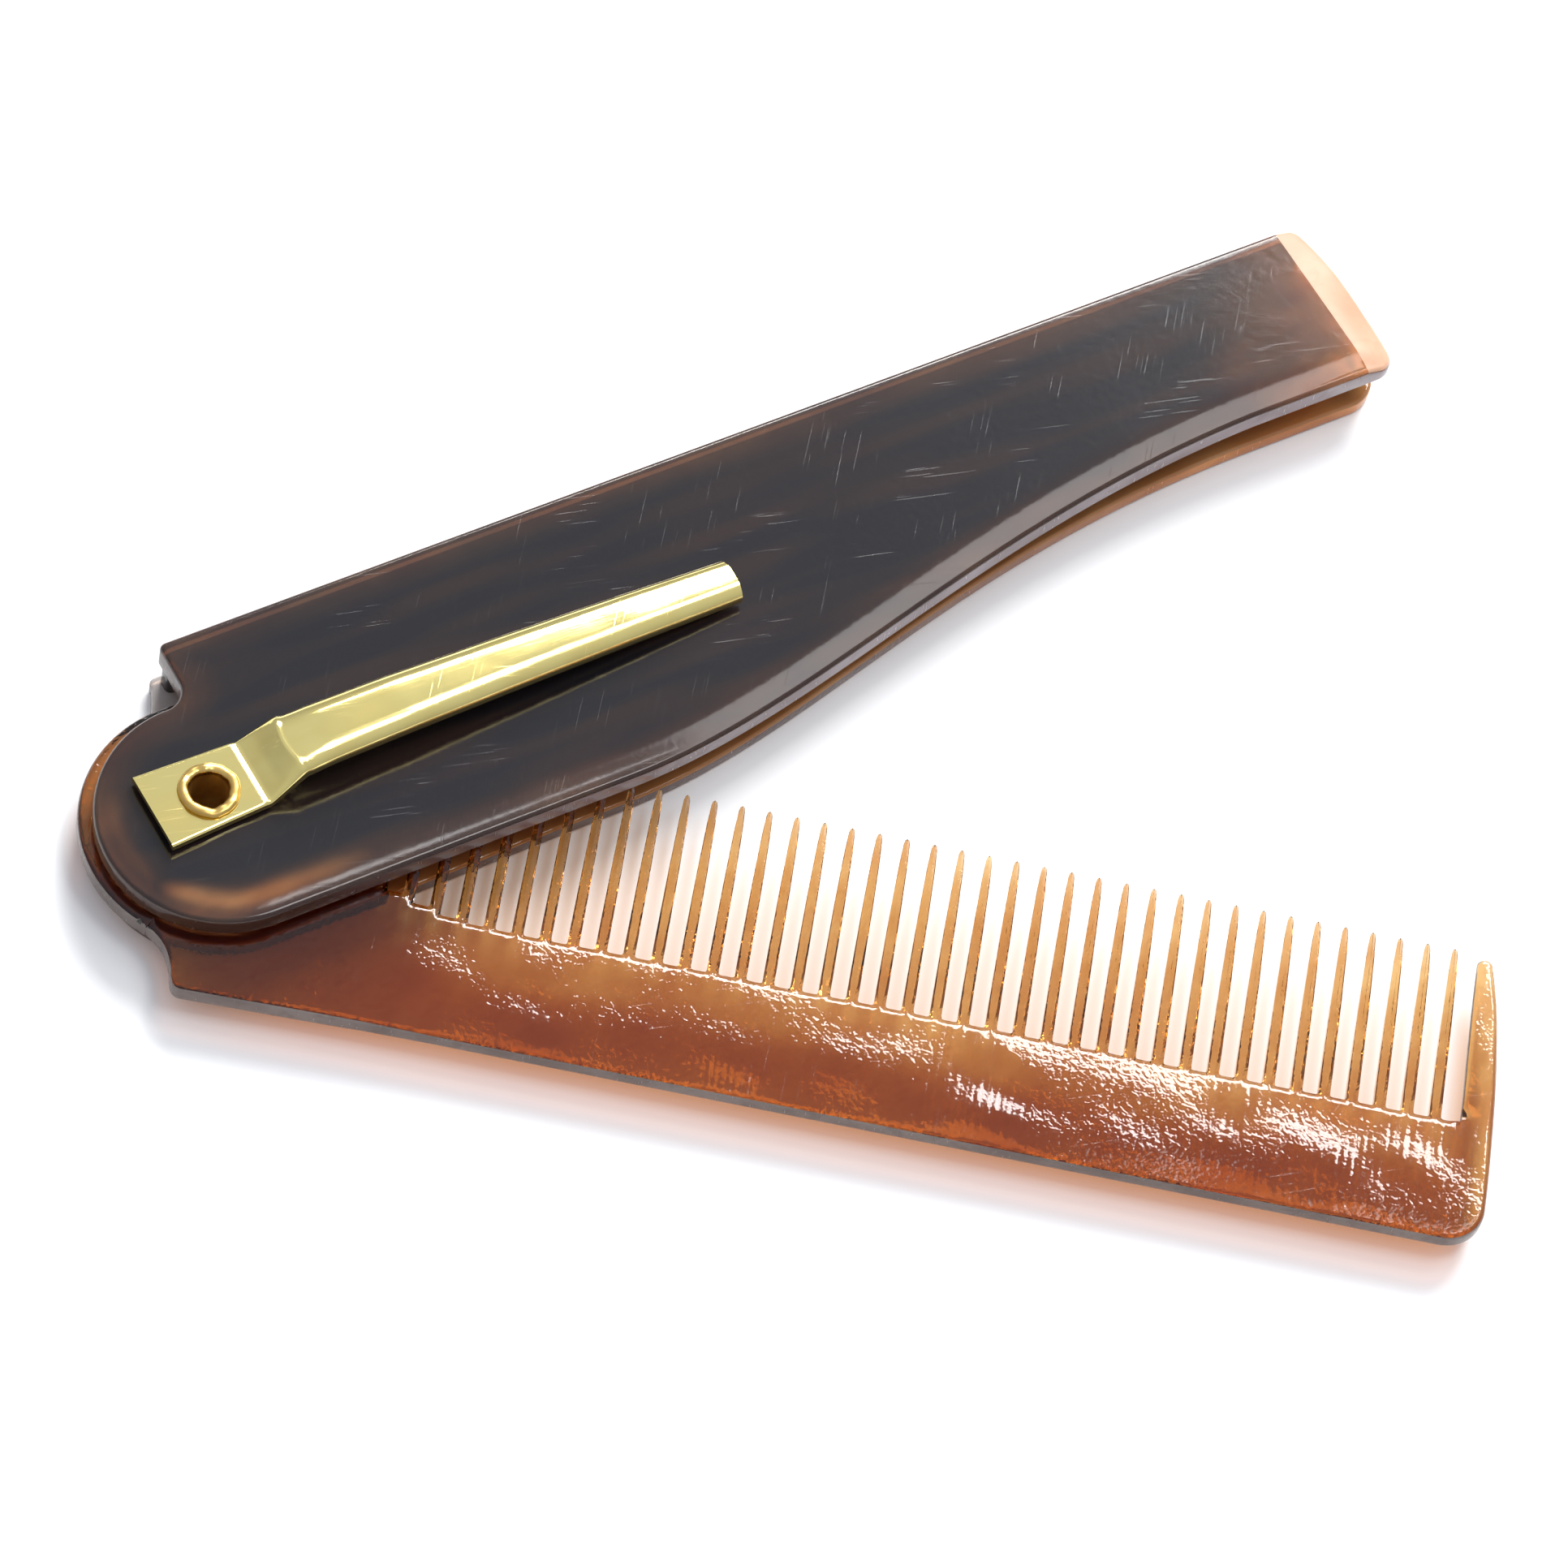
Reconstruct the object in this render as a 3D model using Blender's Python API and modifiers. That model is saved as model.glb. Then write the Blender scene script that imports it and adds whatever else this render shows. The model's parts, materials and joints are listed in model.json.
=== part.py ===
"""Folding comb: an amber comb blade on a hollow rivet, in a two-plate handle with a pocket clip.

The handle lies along X with its back towards +Y. The comb opens clockwise, seen from above, out of
the slot between the plates. Sizes are in millimetres here and become metres as each piece is made.
Outlines are given in the handle's own frame, with the pivot at the origin.
"""
import bpy
import bmesh
from math import atan2, cos, sin, pi, radians, sqrt
from mathutils import Vector

MM = 0.001

# Place of the pivot, which puts the middle of the open comb's footprint on the origin
PIVOT_X = -44.65
PIVOT_Y = 26.45
OPEN_ANGLE = 36.8

# Heights of the layers, from the table up
BOTTOM_THICK = 1.4
SLOT_HEIGHT = 2.3
TOP_THICK = 2.1
COMB_THICK = 1.8
LAYER_GAP = 0.25
TOP_FLOOR = BOTTOM_THICK + SLOT_HEIGHT
TOP_FACE = TOP_FLOOR + TOP_THICK
COMB_MIDDLE = BOTTOM_THICK + SLOT_HEIGHT / 2

# Outline shared by the handle's plates: round lobe, deep belly, narrow end, straight back
LOBE_X = 0.6
LOBE_Y = -1.1
LOBE_RADIUS = 9.05
BELLY_DEEP_Y = -10.15
BELLY_DEEP_X = 29.0
BELLY_SHALLOW_Y = -0.62
BELLY_SHALLOW_X = 86.0
BACK_Y = 13.07
BACK_START_X = 2.4
BACK_CORNER = 0.5
END_BULGE = 0.3
END_LEAN = 1.1
END_CORNER = 1.0

# What differs between the plates: end, corner at the belly, pull of the belly's curve
TOP_END_X = 98.55
TOP_END_CORNER = 1.67
TOP_BELLY_PULL = (62.0, -1.2)
BOTTOM_END_X = 98.2
BOTTOM_END_CORNER = 3.0
BOTTOM_BELLY_PULL = (60.0, -0.7)
BOTTOM_INSET = 0.3
TOP_RIM_ROUND = 0.45
BOTTOM_RIM_ROUND = 0.35

# Notch that lets the blade's heel pass: an arc in the top plate, a slanted curve in the bottom one
NOTCH_RADIUS = 1.75
SLANTED_NOTCH = ((1.9, 12.4), (1.2, 11.0), (0.4, 9.0), (-1.7, 7.65))

# Slope planed on the far end of the top plate
END_SLOPE_LENGTH = 2.8
END_SLOPE_DROP = 0.8
END_SLOPE_TURN = 2.0

# Spine strip between the plates
STRIP_INNER_Y = 11.3
STRIP_OUTER_Y = 12.75
STRIP_START_X = 2.65
STRIP_END_X = 96.6
STRIP_END_LEAN = 0.5

# Comb blade: back, tang round the pivot and broad guard tooth at the far end
SPINE_Y = -13.93
HEEL_Y = -14.25
HEEL_X = 0.35
TANG_X = 1.3
TANG_Y = -0.1
TANG_RADIUS = 10.3
TANG_SIDE_X = 11.9
BLADE_END_X = 93.47
END_ROUND = 2.9
GUARD_INNER_X = 91.05
GUARD_TIP_X = 91.42
GUARD_TIP_Y = 9.68
GUARD_TIP_ROUND = 0.62
BLADE_RIM = 0.36
BLADE_RIM_HEIGHT = 0.5
BACK_POINTS = ((HEEL_X + 0.5, HEEL_Y), (4.5, -14.12), (9.0, -14.0), (14.0, SPINE_Y), (54.0, SPINE_Y))
GUARD_OUTER_POINTS = ((93.48, -8.5), (93.44, -4.2), (93.28, -1.4), (93.06, 1.5), (92.75, 5.0), (92.4, 7.6))
GUARD_INNER_POINTS = ((90.79, 7.6), (90.86, 4.0), (90.96, 0.0))
HEEL_POINTS = ((-1.55, -10.45), (-0.62, -11.35), (-0.1, -12.7), (HEEL_X - 0.1, -13.7), (HEEL_X + 0.1, -14.1))

# Fine teeth
TOOTH_PITCH = 2.0
TOOTH_COUNT = 39
FIRST_TOOTH_X = 13.14
ROOT_Y = -4.25
TIP_Y = 10.15
TOOTH_HALF = 0.42
FOOT_ROUND = 0.2
FOOT_SLOPE = 0.5
STUB_HEIGHT = 0.45
STUB_FACE_HALF = 0.08
STUB_FACE_DROP = 0.16
# How far the foot of each gap nearest the tang rises above the line of the others
ROOT_RISE = (2.1, 1.4, 0.75, 0.25, 0.05)
# height up the tooth, half width, half thickness at the ridge, half thickness at the sides
TOOTH_STATIONS = (
    (ROOT_Y - 0.9, TOOTH_HALF, 0.80, 0.46),
    (ROOT_Y + 1.6, TOOTH_HALF, 0.78, 0.42),
    (3.80, 0.37, 0.66, 0.34),
    (8.00, 0.30, 0.50, 0.26),
    (9.65, 0.23, 0.38, 0.20),
    (TIP_Y, 0.10, 0.16, 0.09),
)

# Rivet and the holes for it
HOLE_RADIUS = 1.95
SINK_RADIUS = 2.85
SINK_DEPTH = 0.8
RIVET_SIDES = 28
RIM_BASE = TOP_FACE + 0.91
# radius, height: rolled rim, shank, lower flange, bore
RIVET_PROFILE = (
    (1.30, RIM_BASE - 0.10),
    (1.40, RIM_BASE + 0.36),
    (1.68, RIM_BASE + 0.56),
    (1.98, RIM_BASE + 0.55),
    (2.20, RIM_BASE + 0.38),
    (2.15, RIM_BASE + 0.22),
    (1.75, RIM_BASE + 0.20),
    (1.65, RIM_BASE),
    (1.65, 0.60),
    (2.40, 0.52),
    (2.50, 0.34),
    (2.38, 0.16),
    (1.60, 0.12),
    (1.30, 0.40),
)

# Pocket clip, in heights above the top plate
CLIP_SHEET = 0.42
CLIP_SKEW = 1.3
CLIP_SHIFT = 0.2
CLIP_SECTION_POINTS = 11
# distance from the rivet, width, depth of the channel, height of its top, squareness of the section
CLIP_STATIONS = (
    (-4.35, 6.30, 0.66, 0.91, 4.5),
    (3.45, 5.62, 0.66, 0.91, 4.5),
    (3.95, 5.54, 0.68, 1.00, 4.2),
    (5.10, 5.36, 0.85, 1.85, 4.0),
    (6.20, 5.20, 1.08, 2.80, 3.6),
    (6.80, 5.10, 1.15, 3.16, 3.4),
    (7.90, 4.98, 1.20, 3.38, 3.2),
    (15.0, 4.75, 1.25, 3.22, 3.0),
    (25.0, 4.30, 1.22, 2.76, 3.0),
    (34.0, 3.90, 1.16, 2.20, 3.0),
    (39.5, 3.65, 1.12, 1.76, 3.0),
    (42.7, 3.50, 1.10, 1.52, 3.0),
)


def arc(centre_x, centre_y, radius, start, end, count):
    """Points along an arc, in degrees, both ends included."""
    points = []
    for i in range(count):
        a = radians(start + (end - start) * i / (count - 1))
        points.append((centre_x + radius * cos(a), centre_y + radius * sin(a)))
    return points


def bezier(p0, p1, p2, p3, count):
    """Points along a cubic curve, both ends left out."""
    points = []
    for i in range(1, count + 1):
        t = i / (count + 1)
        u = 1 - t
        weights = (u ** 3, 3 * u * u * t, 3 * u * t * t, t ** 3)
        x = sum(w * p[0] for w, p in zip(weights, (p0, p1, p2, p3)))
        y = sum(w * p[1] for w, p in zip(weights, (p0, p1, p2, p3)))
        points.append((x, y))
    return points


def inset(points, distance):
    """Moves each point of an anticlockwise outline inwards along its corner's bisector."""
    moved = []
    count = len(points)
    for i, (x, y) in enumerate(points):
        before = Vector(points[i]) - Vector(points[i - 1])
        after = Vector(points[(i + 1) % count]) - Vector(points[i])
        n0 = Vector((-before.y, before.x)).normalized()
        n1 = Vector((-after.y, after.x)).normalized()
        bisector = (n0 + n1).normalized()
        reach = distance / max(bisector.dot(n0), 0.7)
        moved.append((x + bisector.x * reach, y + bisector.y * reach))
    return moved


def collection(name):
    made = bpy.data.collections.new(name)
    bpy.context.scene.collection.children.link(made)
    return made


def material(name, colour, roughness, metallic=0.0):
    made = bpy.data.materials.new(name)
    made.use_nodes = True
    shader = made.node_tree.nodes["Principled BSDF"]
    shader.inputs["Base Color"].default_value = (*colour, 1.0)
    shader.inputs["Roughness"].default_value = roughness
    shader.inputs["Metallic"].default_value = metallic
    return made


def add_piece(mesh, finish):
    """A visible piece, named after its mesh."""
    made = bpy.data.objects.new(mesh.name, mesh)
    pieces.objects.link(made)
    mesh.materials.append(finish)
    made.parent = pivot
    return made


def add_cutter(mesh):
    """A hidden solid that a Boolean step uses."""
    made = bpy.data.objects.new(mesh.name, mesh)
    cutters.objects.link(made)
    made.parent = pivot
    made.hide_render = True
    made.display_type = "WIRE"
    return made


def mesh_from(name, work):
    bmesh.ops.recalc_face_normals(work, faces=work.faces)
    mesh = bpy.data.meshes.new(name)
    work.to_mesh(mesh)
    work.free()
    return mesh


def flat_mesh(name, outline, low, high):
    """A flat piece from its outline: a filled 2D curve with thickness, turned into a mesh."""
    curve = bpy.data.curves.new(name, "CURVE")
    curve.dimensions = "2D"
    curve.fill_mode = "BOTH"
    curve.extrude = (high - low) / 2 * MM
    spline = curve.splines.new("POLY")
    spline.points.add(len(outline) - 1)
    for point, (x, y) in zip(spline.points, outline):
        point.co = (x * MM, y * MM, 0.0, 1.0)
    spline.use_cyclic_u = True
    holder = bpy.data.objects.new(name + "_curve", curve)
    bpy.context.scene.collection.objects.link(holder)
    graph = bpy.context.evaluated_depsgraph_get()
    filled = bpy.data.meshes.new_from_object(holder.evaluated_get(graph))
    bpy.data.objects.remove(holder)
    work = bmesh.new()
    work.from_mesh(filled)
    bpy.data.meshes.remove(filled)
    bmesh.ops.remove_doubles(work, verts=work.verts, dist=0.001 * MM)
    bmesh.ops.dissolve_limit(work, angle_limit=radians(1.0), verts=work.verts, edges=work.edges)
    bmesh.ops.translate(work, verts=work.verts, vec=(0.0, 0.0, (low + high) / 2 * MM))
    return mesh_from(name, work)


def add_loft(work, rings):
    """Skins equal rings of points in order and closes both ends."""
    rows = [[work.verts.new([c * MM for c in point]) for point in ring] for ring in rings]
    for low, high in zip(rows, rows[1:]):
        for i in range(len(low)):
            j = (i + 1) % len(low)
            work.faces.new((low[i], low[j], high[j], high[i]))
    work.faces.new(rows[0])
    work.faces.new(rows[-1])


def cylinder(name, radius, low, high):
    """A round cutter on the pivot's axis."""
    ring = [(radius * cos(2 * pi * i / RIVET_SIDES), radius * sin(2 * pi * i / RIVET_SIDES))
            for i in range(RIVET_SIDES)]
    work = bmesh.new()
    add_loft(work, [[(x, y, z) for x, y in ring] for z in (low, high)])
    return add_cutter(mesh_from(name, work))


def boolean(target, cutter, operation="DIFFERENCE"):
    step = target.modifiers.new(operation.lower() + "_" + cutter.name, "BOOLEAN")
    step.object = cutter
    step.operation = operation
    step.solver = "EXACT"


def bevel(target, width, segments):
    step = target.modifiers.new("rim", "BEVEL")
    step.width = width * MM
    step.segments = segments
    step.limit_method = "ANGLE"
    step.angle_limit = radians(50)
    step.use_clamp_overlap = False


def smooth(target, angle=35):
    target.data.shade_smooth()
    target.data.set_sharp_from_angle(angle=radians(angle))


def plate_outline(end_x, corner, deep_y, pull, notch):
    """A plate's outline, anticlockwise: belly, end, back, notch and lobe round the pivot."""
    deepest = (BELLY_DEEP_X, deep_y)
    shallow = (BELLY_SHALLOW_X, BELLY_SHALLOW_Y)
    corner_y = BELLY_SHALLOW_Y + corner
    points = bezier((LOBE_X, BELLY_DEEP_Y), (10, BELLY_DEEP_Y), (20, deep_y), deepest, 2)
    points.append(deepest)
    points += bezier(deepest, (45, deep_y + 0.15), pull, shallow, 13)
    points.append(shallow)
    points += arc(end_x - 0.03 - corner, corner_y, corner, -90, -8, 6)
    points += bezier((end_x - 0.05, corner_y - 0.14 * corner), (end_x + END_BULGE, 4.5),
                     (end_x - END_BULGE / 2, 9.5), (end_x - END_LEAN, 12.2), 6)
    points += arc(end_x - END_LEAN - END_CORNER, BACK_Y - END_CORNER, END_CORNER, 15, 90, 5)
    points += notch
    points += arc(LOBE_X, LOBE_Y, LOBE_RADIUS, 105, 270, 20)
    return points


def make_bottom_plate():
    """The plate on the table, a little smaller, with a sunk seat for the rivet's lower flange."""
    notch = arc(BACK_START_X, BACK_Y - BACK_CORNER, BACK_CORNER, 90, 176, 4)
    notch += bezier(*SLANTED_NOTCH, 5)
    deep_y = BELLY_DEEP_Y + BOTTOM_INSET
    outline = plate_outline(BOTTOM_END_X, BOTTOM_END_CORNER, deep_y, BOTTOM_BELLY_PULL, notch)
    plate = add_piece(flat_mesh("handle_bottom_plate", outline, 0.0, BOTTOM_THICK), brown_shell)
    bevel(plate, BOTTOM_RIM_ROUND, 2)
    boolean(plate, rivet_hole)
    boolean(plate, cylinder("rivet_sink", SINK_RADIUS, -1.0, SINK_DEPTH))
    smooth(plate)


def make_top_plate():
    """The plate that carries the clip, sloped down at its far end."""
    notch = arc(BACK_START_X + BACK_CORNER, BACK_Y - BACK_CORNER, BACK_CORNER, 90, 176, 4)
    notch += arc(LOBE_X, LOBE_Y + LOBE_RADIUS + NOTCH_RADIUS, NOTCH_RADIUS, 6, -88, 7)
    notch += arc(LOBE_X, LOBE_Y, LOBE_RADIUS, 93, 99, 2)
    outline = plate_outline(TOP_END_X, TOP_END_CORNER, BELLY_DEEP_Y, TOP_BELLY_PULL, notch)
    plate = add_piece(flat_mesh("handle_top_plate", outline, TOP_FLOOR, TOP_FACE), dark_shell)
    wedge = add_cutter(flat_mesh("end_slope", ((0, -20), (12, -20), (12, 30), (0, 30)), 0.0, 8.0))
    wedge.location = ((TOP_END_X - END_SLOPE_LENGTH) * MM, 0.0, TOP_FACE * MM)
    wedge.rotation_euler = (0.0, atan2(END_SLOPE_DROP, END_SLOPE_LENGTH), radians(END_SLOPE_TURN))
    bevel(plate, TOP_RIM_ROUND, 3)
    boolean(plate, wedge)
    boolean(plate, rivet_hole)
    smooth(plate)


def make_strip():
    """The strip that closes the slot along the back."""
    outline = ((STRIP_START_X, STRIP_INNER_Y), (STRIP_END_X, STRIP_INNER_Y),
               (STRIP_END_X - STRIP_END_LEAN, STRIP_OUTER_Y), (STRIP_START_X, STRIP_OUTER_Y))
    add_piece(flat_mesh("spine_strip", outline, BOTTOM_THICK + LAYER_GAP, TOP_FLOOR - LAYER_GAP), brown_shell)


def tooth_x(index):
    return FIRST_TOOTH_X + TOOTH_PITCH * index


def gap_foot(index):
    """Height of the foot of the gap to the left of a tooth, counted from the tang."""
    return ROOT_Y + (ROOT_RISE[index] if index < len(ROOT_RISE) else 0.0)


def blade_outlines():
    """The blade's outline at its widest and the outline of its flat face, point for point."""
    outer = list(BACK_POINTS)
    outer += arc(BLADE_END_X - END_ROUND, SPINE_Y + END_ROUND, END_ROUND, -90, -4, 7)
    outer += GUARD_OUTER_POINTS
    outer += arc(GUARD_TIP_X, GUARD_TIP_Y - GUARD_TIP_ROUND, GUARD_TIP_ROUND, 20, 160, 6)
    outer += GUARD_INNER_POINTS
    outer.append((GUARD_INNER_X, ROOT_Y + STUB_HEIGHT))
    face = inset(outer, BLADE_RIM)
    face[0] = (outer[0][0] + 0.1, outer[0][1] + BLADE_RIM)
    face[-1] = (GUARD_INNER_X + BLADE_RIM, ROOT_Y - 0.1)

    # Feet of the gaps, from the guard tooth back to the tang, with the stub of a tooth after each
    for gap in range(TOOTH_COUNT, -1, -1):
        low = gap_foot(gap)
        slope = low - FOOT_SLOPE
        right = GUARD_INNER_X if gap == TOOTH_COUNT else tooth_x(gap) - TOOTH_HALF
        left = tooth_x(gap - 1) + TOOTH_HALF if gap else TANG_SIDE_X
        outer += [(right, low + FOOT_ROUND), (right - FOOT_ROUND, low),
                  (left + FOOT_ROUND, low), (left, low + FOOT_ROUND)]
        face += [(right + FOOT_ROUND, slope + 0.12), (right - FOOT_ROUND, slope),
                 (left + FOOT_ROUND, slope), (left - FOOT_ROUND, slope + 0.12)]
        if gap:
            x = tooth_x(gap - 1)
            next_low = gap_foot(gap - 1)
            outer += [(x + TOOTH_HALF, low + STUB_HEIGHT), (x - TOOTH_HALF, next_low + STUB_HEIGHT)]
            face += [(x + STUB_FACE_HALF, low - STUB_FACE_DROP),
                     (x - STUB_FACE_HALF, next_low - STUB_FACE_DROP)]

    tang = arc(TANG_X, TANG_Y, TANG_RADIUS, 8, 248, 32)
    tang += HEEL_POINTS
    face += inset([outer[-1]] + tang + [outer[0]], BLADE_RIM)[1:-1]
    outer += tang
    return outer, face


def blade_mesh():
    """The blade without its teeth: rounded rims between a wide outline and a smaller flat face."""
    outer, face = blade_outlines()
    half = COMB_THICK / 2
    shoulder = half - BLADE_RIM_HEIGHT
    between = [(a + 0.3 * (c - a), b + 0.3 * (d - b)) for (a, b), (c, d) in zip(outer, face)]
    lift = shoulder + BLADE_RIM_HEIGHT * sqrt(0.5)
    rings = []
    for outline, z in ((face, -half), (between, -lift), (outer, -shoulder),
                       (outer, shoulder), (between, lift), (face, half)):
        rings.append([(x, y, z) for x, y in outline])
    work = bmesh.new()
    add_loft(work, rings)
    return mesh_from("comb_blade", work)


def teeth_mesh():
    """All the fine teeth: roof-shaped sections that thin towards a small round tip."""
    work = bmesh.new()
    for index in range(TOOTH_COUNT):
        x = tooth_x(index)
        rings = []
        for y, half, ridge, side in TOOTH_STATIONS:
            section = ((0, ridge), (half, side), (half, -side), (0, -ridge), (-half, -side), (-half, side))
            rings.append([(x + dx, y, dz) for dx, dz in section])
        add_loft(work, rings)
    return mesh_from("fine_teeth", work)


def make_blade():
    """The comb blade, opened about the pivot's axis."""
    blade = add_piece(blade_mesh(), amber)
    fine_teeth = add_cutter(teeth_mesh())
    blade_hole = cylinder("blade_hole", HOLE_RADIUS, -5.0, 5.0)
    for turned in (blade, fine_teeth, blade_hole):
        turned.location.z = COMB_MIDDLE * MM
        turned.rotation_euler.z = -radians(OPEN_ANGLE)
    boolean(blade, fine_teeth, "UNION")
    boolean(blade, blade_hole)
    smooth(blade)


def clip_ring(distance, width, depth, top, squareness):
    """One section of the clip: an arch in sheet metal, closed round its inner side."""
    base = TOP_FACE + top - depth

    def side(half, height):
        points = []
        for i in range(CLIP_SECTION_POINTS):
            a = pi * i / (CLIP_SECTION_POINTS - 1)
            across = half * abs(cos(a)) ** (2 / squareness) * (1 if cos(a) >= 0 else -1)
            points.append((distance, CLIP_SHIFT + across, base + height * sin(a) ** (2 / squareness)))
        return points

    outer = side(width / 2, depth)
    inner = side(width / 2 - CLIP_SHEET, depth - CLIP_SHEET)
    return outer + inner[::-1]


def make_clip():
    """The pocket clip, lofted through its sections and pierced for the rivet."""
    work = bmesh.new()
    add_loft(work, [clip_ring(*station) for station in CLIP_STATIONS])
    clip = add_piece(mesh_from("pocket_clip", work), brass)
    clip.rotation_euler.z = radians(CLIP_SKEW)
    boolean(clip, rivet_hole)
    smooth(clip)


def make_rivet():
    """The hollow rivet: its closed section is spun round the axis."""
    work = bmesh.new()
    corners = [work.verts.new((radius * MM, 0.0, height * MM)) for radius, height in RIVET_PROFILE]
    for i, corner in enumerate(corners):
        work.edges.new((corners[i - 1], corner))
    section = bpy.data.meshes.new("pivot_rivet")
    work.to_mesh(section)
    work.free()
    spin = add_piece(section, rivet_metal).modifiers.new("spin", "SCREW")
    spin.angle = 2 * pi
    spin.steps = RIVET_SIDES
    spin.render_steps = RIVET_SIDES
    spin.use_merge_vertices = True
    spin.merge_threshold = 0.001 * MM
    spin.use_normal_calculate = True


for old in list(bpy.data.objects):
    bpy.data.objects.remove(old)

pieces = collection("folding_comb")
cutters = collection("cutters")

dark_shell = material("dark_shell", (0.030, 0.020, 0.018), 0.22)
brown_shell = material("brown_shell", (0.150, 0.050, 0.020), 0.25)
amber = material("amber", (0.400, 0.115, 0.035), 0.15)
brass = material("polished_brass", (0.860, 0.700, 0.300), 0.16, 1.0)
rivet_metal = material("rivet_brass", (0.680, 0.480, 0.190), 0.30, 1.0)

pivot = bpy.data.objects.new("pivot_axis", None)
pieces.objects.link(pivot)
pivot.location = (PIVOT_X * MM, PIVOT_Y * MM, 0.0)

rivet_hole = cylinder("rivet_hole", HOLE_RADIUS, -1.0, TOP_FACE + 3.0)
make_bottom_plate()
make_top_plate()
make_strip()
make_blade()
make_clip()
make_rivet()
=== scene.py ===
# %% [markdown]
# A folding pocket comb, lying open on a pale table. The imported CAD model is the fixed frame: it says
# where the pivot is, how thick each layer is and which piece moves with which body. Everything built
# here only dresses that frame, so each size is either read from it or given in millimetres from the pivot.

# %% Load the frame
import json
from math import atan2, cos, pi, radians, sin, sqrt
import bmesh
import bpy
import numpy as np
from mathutils import Matrix, Vector
from mathutils.geometry import delaunay_2d_cdt


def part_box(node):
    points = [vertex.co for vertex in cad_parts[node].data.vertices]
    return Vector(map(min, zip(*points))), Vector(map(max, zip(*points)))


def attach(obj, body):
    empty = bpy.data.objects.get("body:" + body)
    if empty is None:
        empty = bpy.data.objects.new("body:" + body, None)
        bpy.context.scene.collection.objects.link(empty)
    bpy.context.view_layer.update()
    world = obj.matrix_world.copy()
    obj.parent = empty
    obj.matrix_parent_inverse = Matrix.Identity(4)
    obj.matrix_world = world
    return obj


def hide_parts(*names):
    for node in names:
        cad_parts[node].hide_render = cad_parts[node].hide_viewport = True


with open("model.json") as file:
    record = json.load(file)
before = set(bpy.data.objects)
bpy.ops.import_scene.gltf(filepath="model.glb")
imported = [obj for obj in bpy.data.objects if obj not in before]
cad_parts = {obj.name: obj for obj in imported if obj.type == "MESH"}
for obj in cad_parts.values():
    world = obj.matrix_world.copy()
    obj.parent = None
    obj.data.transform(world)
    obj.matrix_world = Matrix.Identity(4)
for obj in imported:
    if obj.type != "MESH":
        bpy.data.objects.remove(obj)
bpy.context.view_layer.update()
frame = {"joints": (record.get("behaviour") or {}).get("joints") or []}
MM = 0.001
hinge = frame["joints"][0]
pivot = Vector(hinge["pos_m"])
open_angle = radians(hinge["range_deg"][1])
bottom_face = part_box("handle_bottom_plate")[1].z / MM
slot_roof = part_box("handle_top_plate")[0].z / MM
top_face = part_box("handle_top_plate")[1].z / MM
blade_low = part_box("comb_blade")[0].z / MM
blade_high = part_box("comb_blade")[1].z / MM
print("pivot", tuple(pivot), "layers in mm", bottom_face, blade_low, blade_high, slot_roof, top_face)

# %% [markdown]
# Flat plastic pieces such as these are sawn from sheet and then polished by hand, which rounds every rim.
# A Bevel modifier on a flat plate gives the round rim but not the soft crown beside it. So each plate is
# made as rings that climb the rim, and its face is filled with a fine net of points whose heights follow
# the distance to the outline. The helpers below draw outlines and measure such distances.

# %% Helpers that draw outlines
def arc(centre, radius, start, end, count):
    """Points along an arc, in degrees, both ends included."""
    angles = np.radians(np.linspace(start, end, count))
    return np.column_stack((centre[0] + radius * np.cos(angles), centre[1] + radius * np.sin(angles)))


def bezier(p0, p1, p2, p3, count):
    """Points along a cubic curve, both ends included."""
    t = np.linspace(0.0, 1.0, count)[:, None]
    u = 1.0 - t
    p0, p1, p2, p3 = (np.array(p, float) for p in (p0, p1, p2, p3))
    return u ** 3 * p0 + 3 * u * u * t * p1 + 3 * u * t * t * p2 + t ** 3 * p3


def line(start, end, step):
    """Evenly spaced points from start up to, but not including, end."""
    start, end = np.array(start, float), np.array(end, float)
    count = max(2, int(np.linalg.norm(end - start) / step))
    return start + (end - start) * (np.arange(count) / count)[:, None]


def joined(*runs):
    """One closed outline from runs of points, without the points that fall together."""
    points = np.vstack(runs)
    gap = np.linalg.norm(points - np.roll(points, 1, axis=0), axis=1)
    return points[gap > 0.01]


def net(low, high, step):
    """Points of a net of equal triangles over a rectangle."""
    rows = np.arange(low[1], high[1], step * 0.866)
    columns = np.arange(low[0], high[0], step)
    points = [(x + (0.5 * step if i % 2 else 0.0), y) for i, y in enumerate(rows) for x in columns]
    return np.array(points)


print("a net of 1 mm over 10 by 10 mm has", len(net((0, 0), (10, 10), 1.0)), "points")

# %% [markdown]
# The next helpers measure: how far a point lies from an outline, and whether it lies inside. Blender can
# measure such things on finished meshes. Here they are needed before there is a mesh, and for thousands
# of points, so they work on whole arrays at once, in batches that keep the memory small.

# %% Helpers that measure outlines
BATCH = 2000


def ramp(value, start, end):
    """Zero at start and one at end, straight between them and level beyond."""
    return np.clip((value - start) / (end - start), 0.0, 1.0)


def eased(share):
    """The same ramp with soft ends."""
    return share * share * (3 - 2 * share)


def inward(outline):
    """Inward normals of an anticlockwise outline, long enough to keep a moved edge parallel."""
    before = outline - np.roll(outline, 1, axis=0)
    after = np.roll(before, -1, axis=0)
    n0 = np.column_stack((-before[:, 1], before[:, 0])) / np.linalg.norm(before, axis=1)[:, None]
    n1 = np.column_stack((-after[:, 1], after[:, 0])) / np.linalg.norm(after, axis=1)[:, None]
    middle = n0 + n1
    middle /= np.linalg.norm(middle, axis=1)[:, None]
    return middle / np.clip((middle * n0).sum(axis=1), 0.7, 1.0)[:, None]


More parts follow.
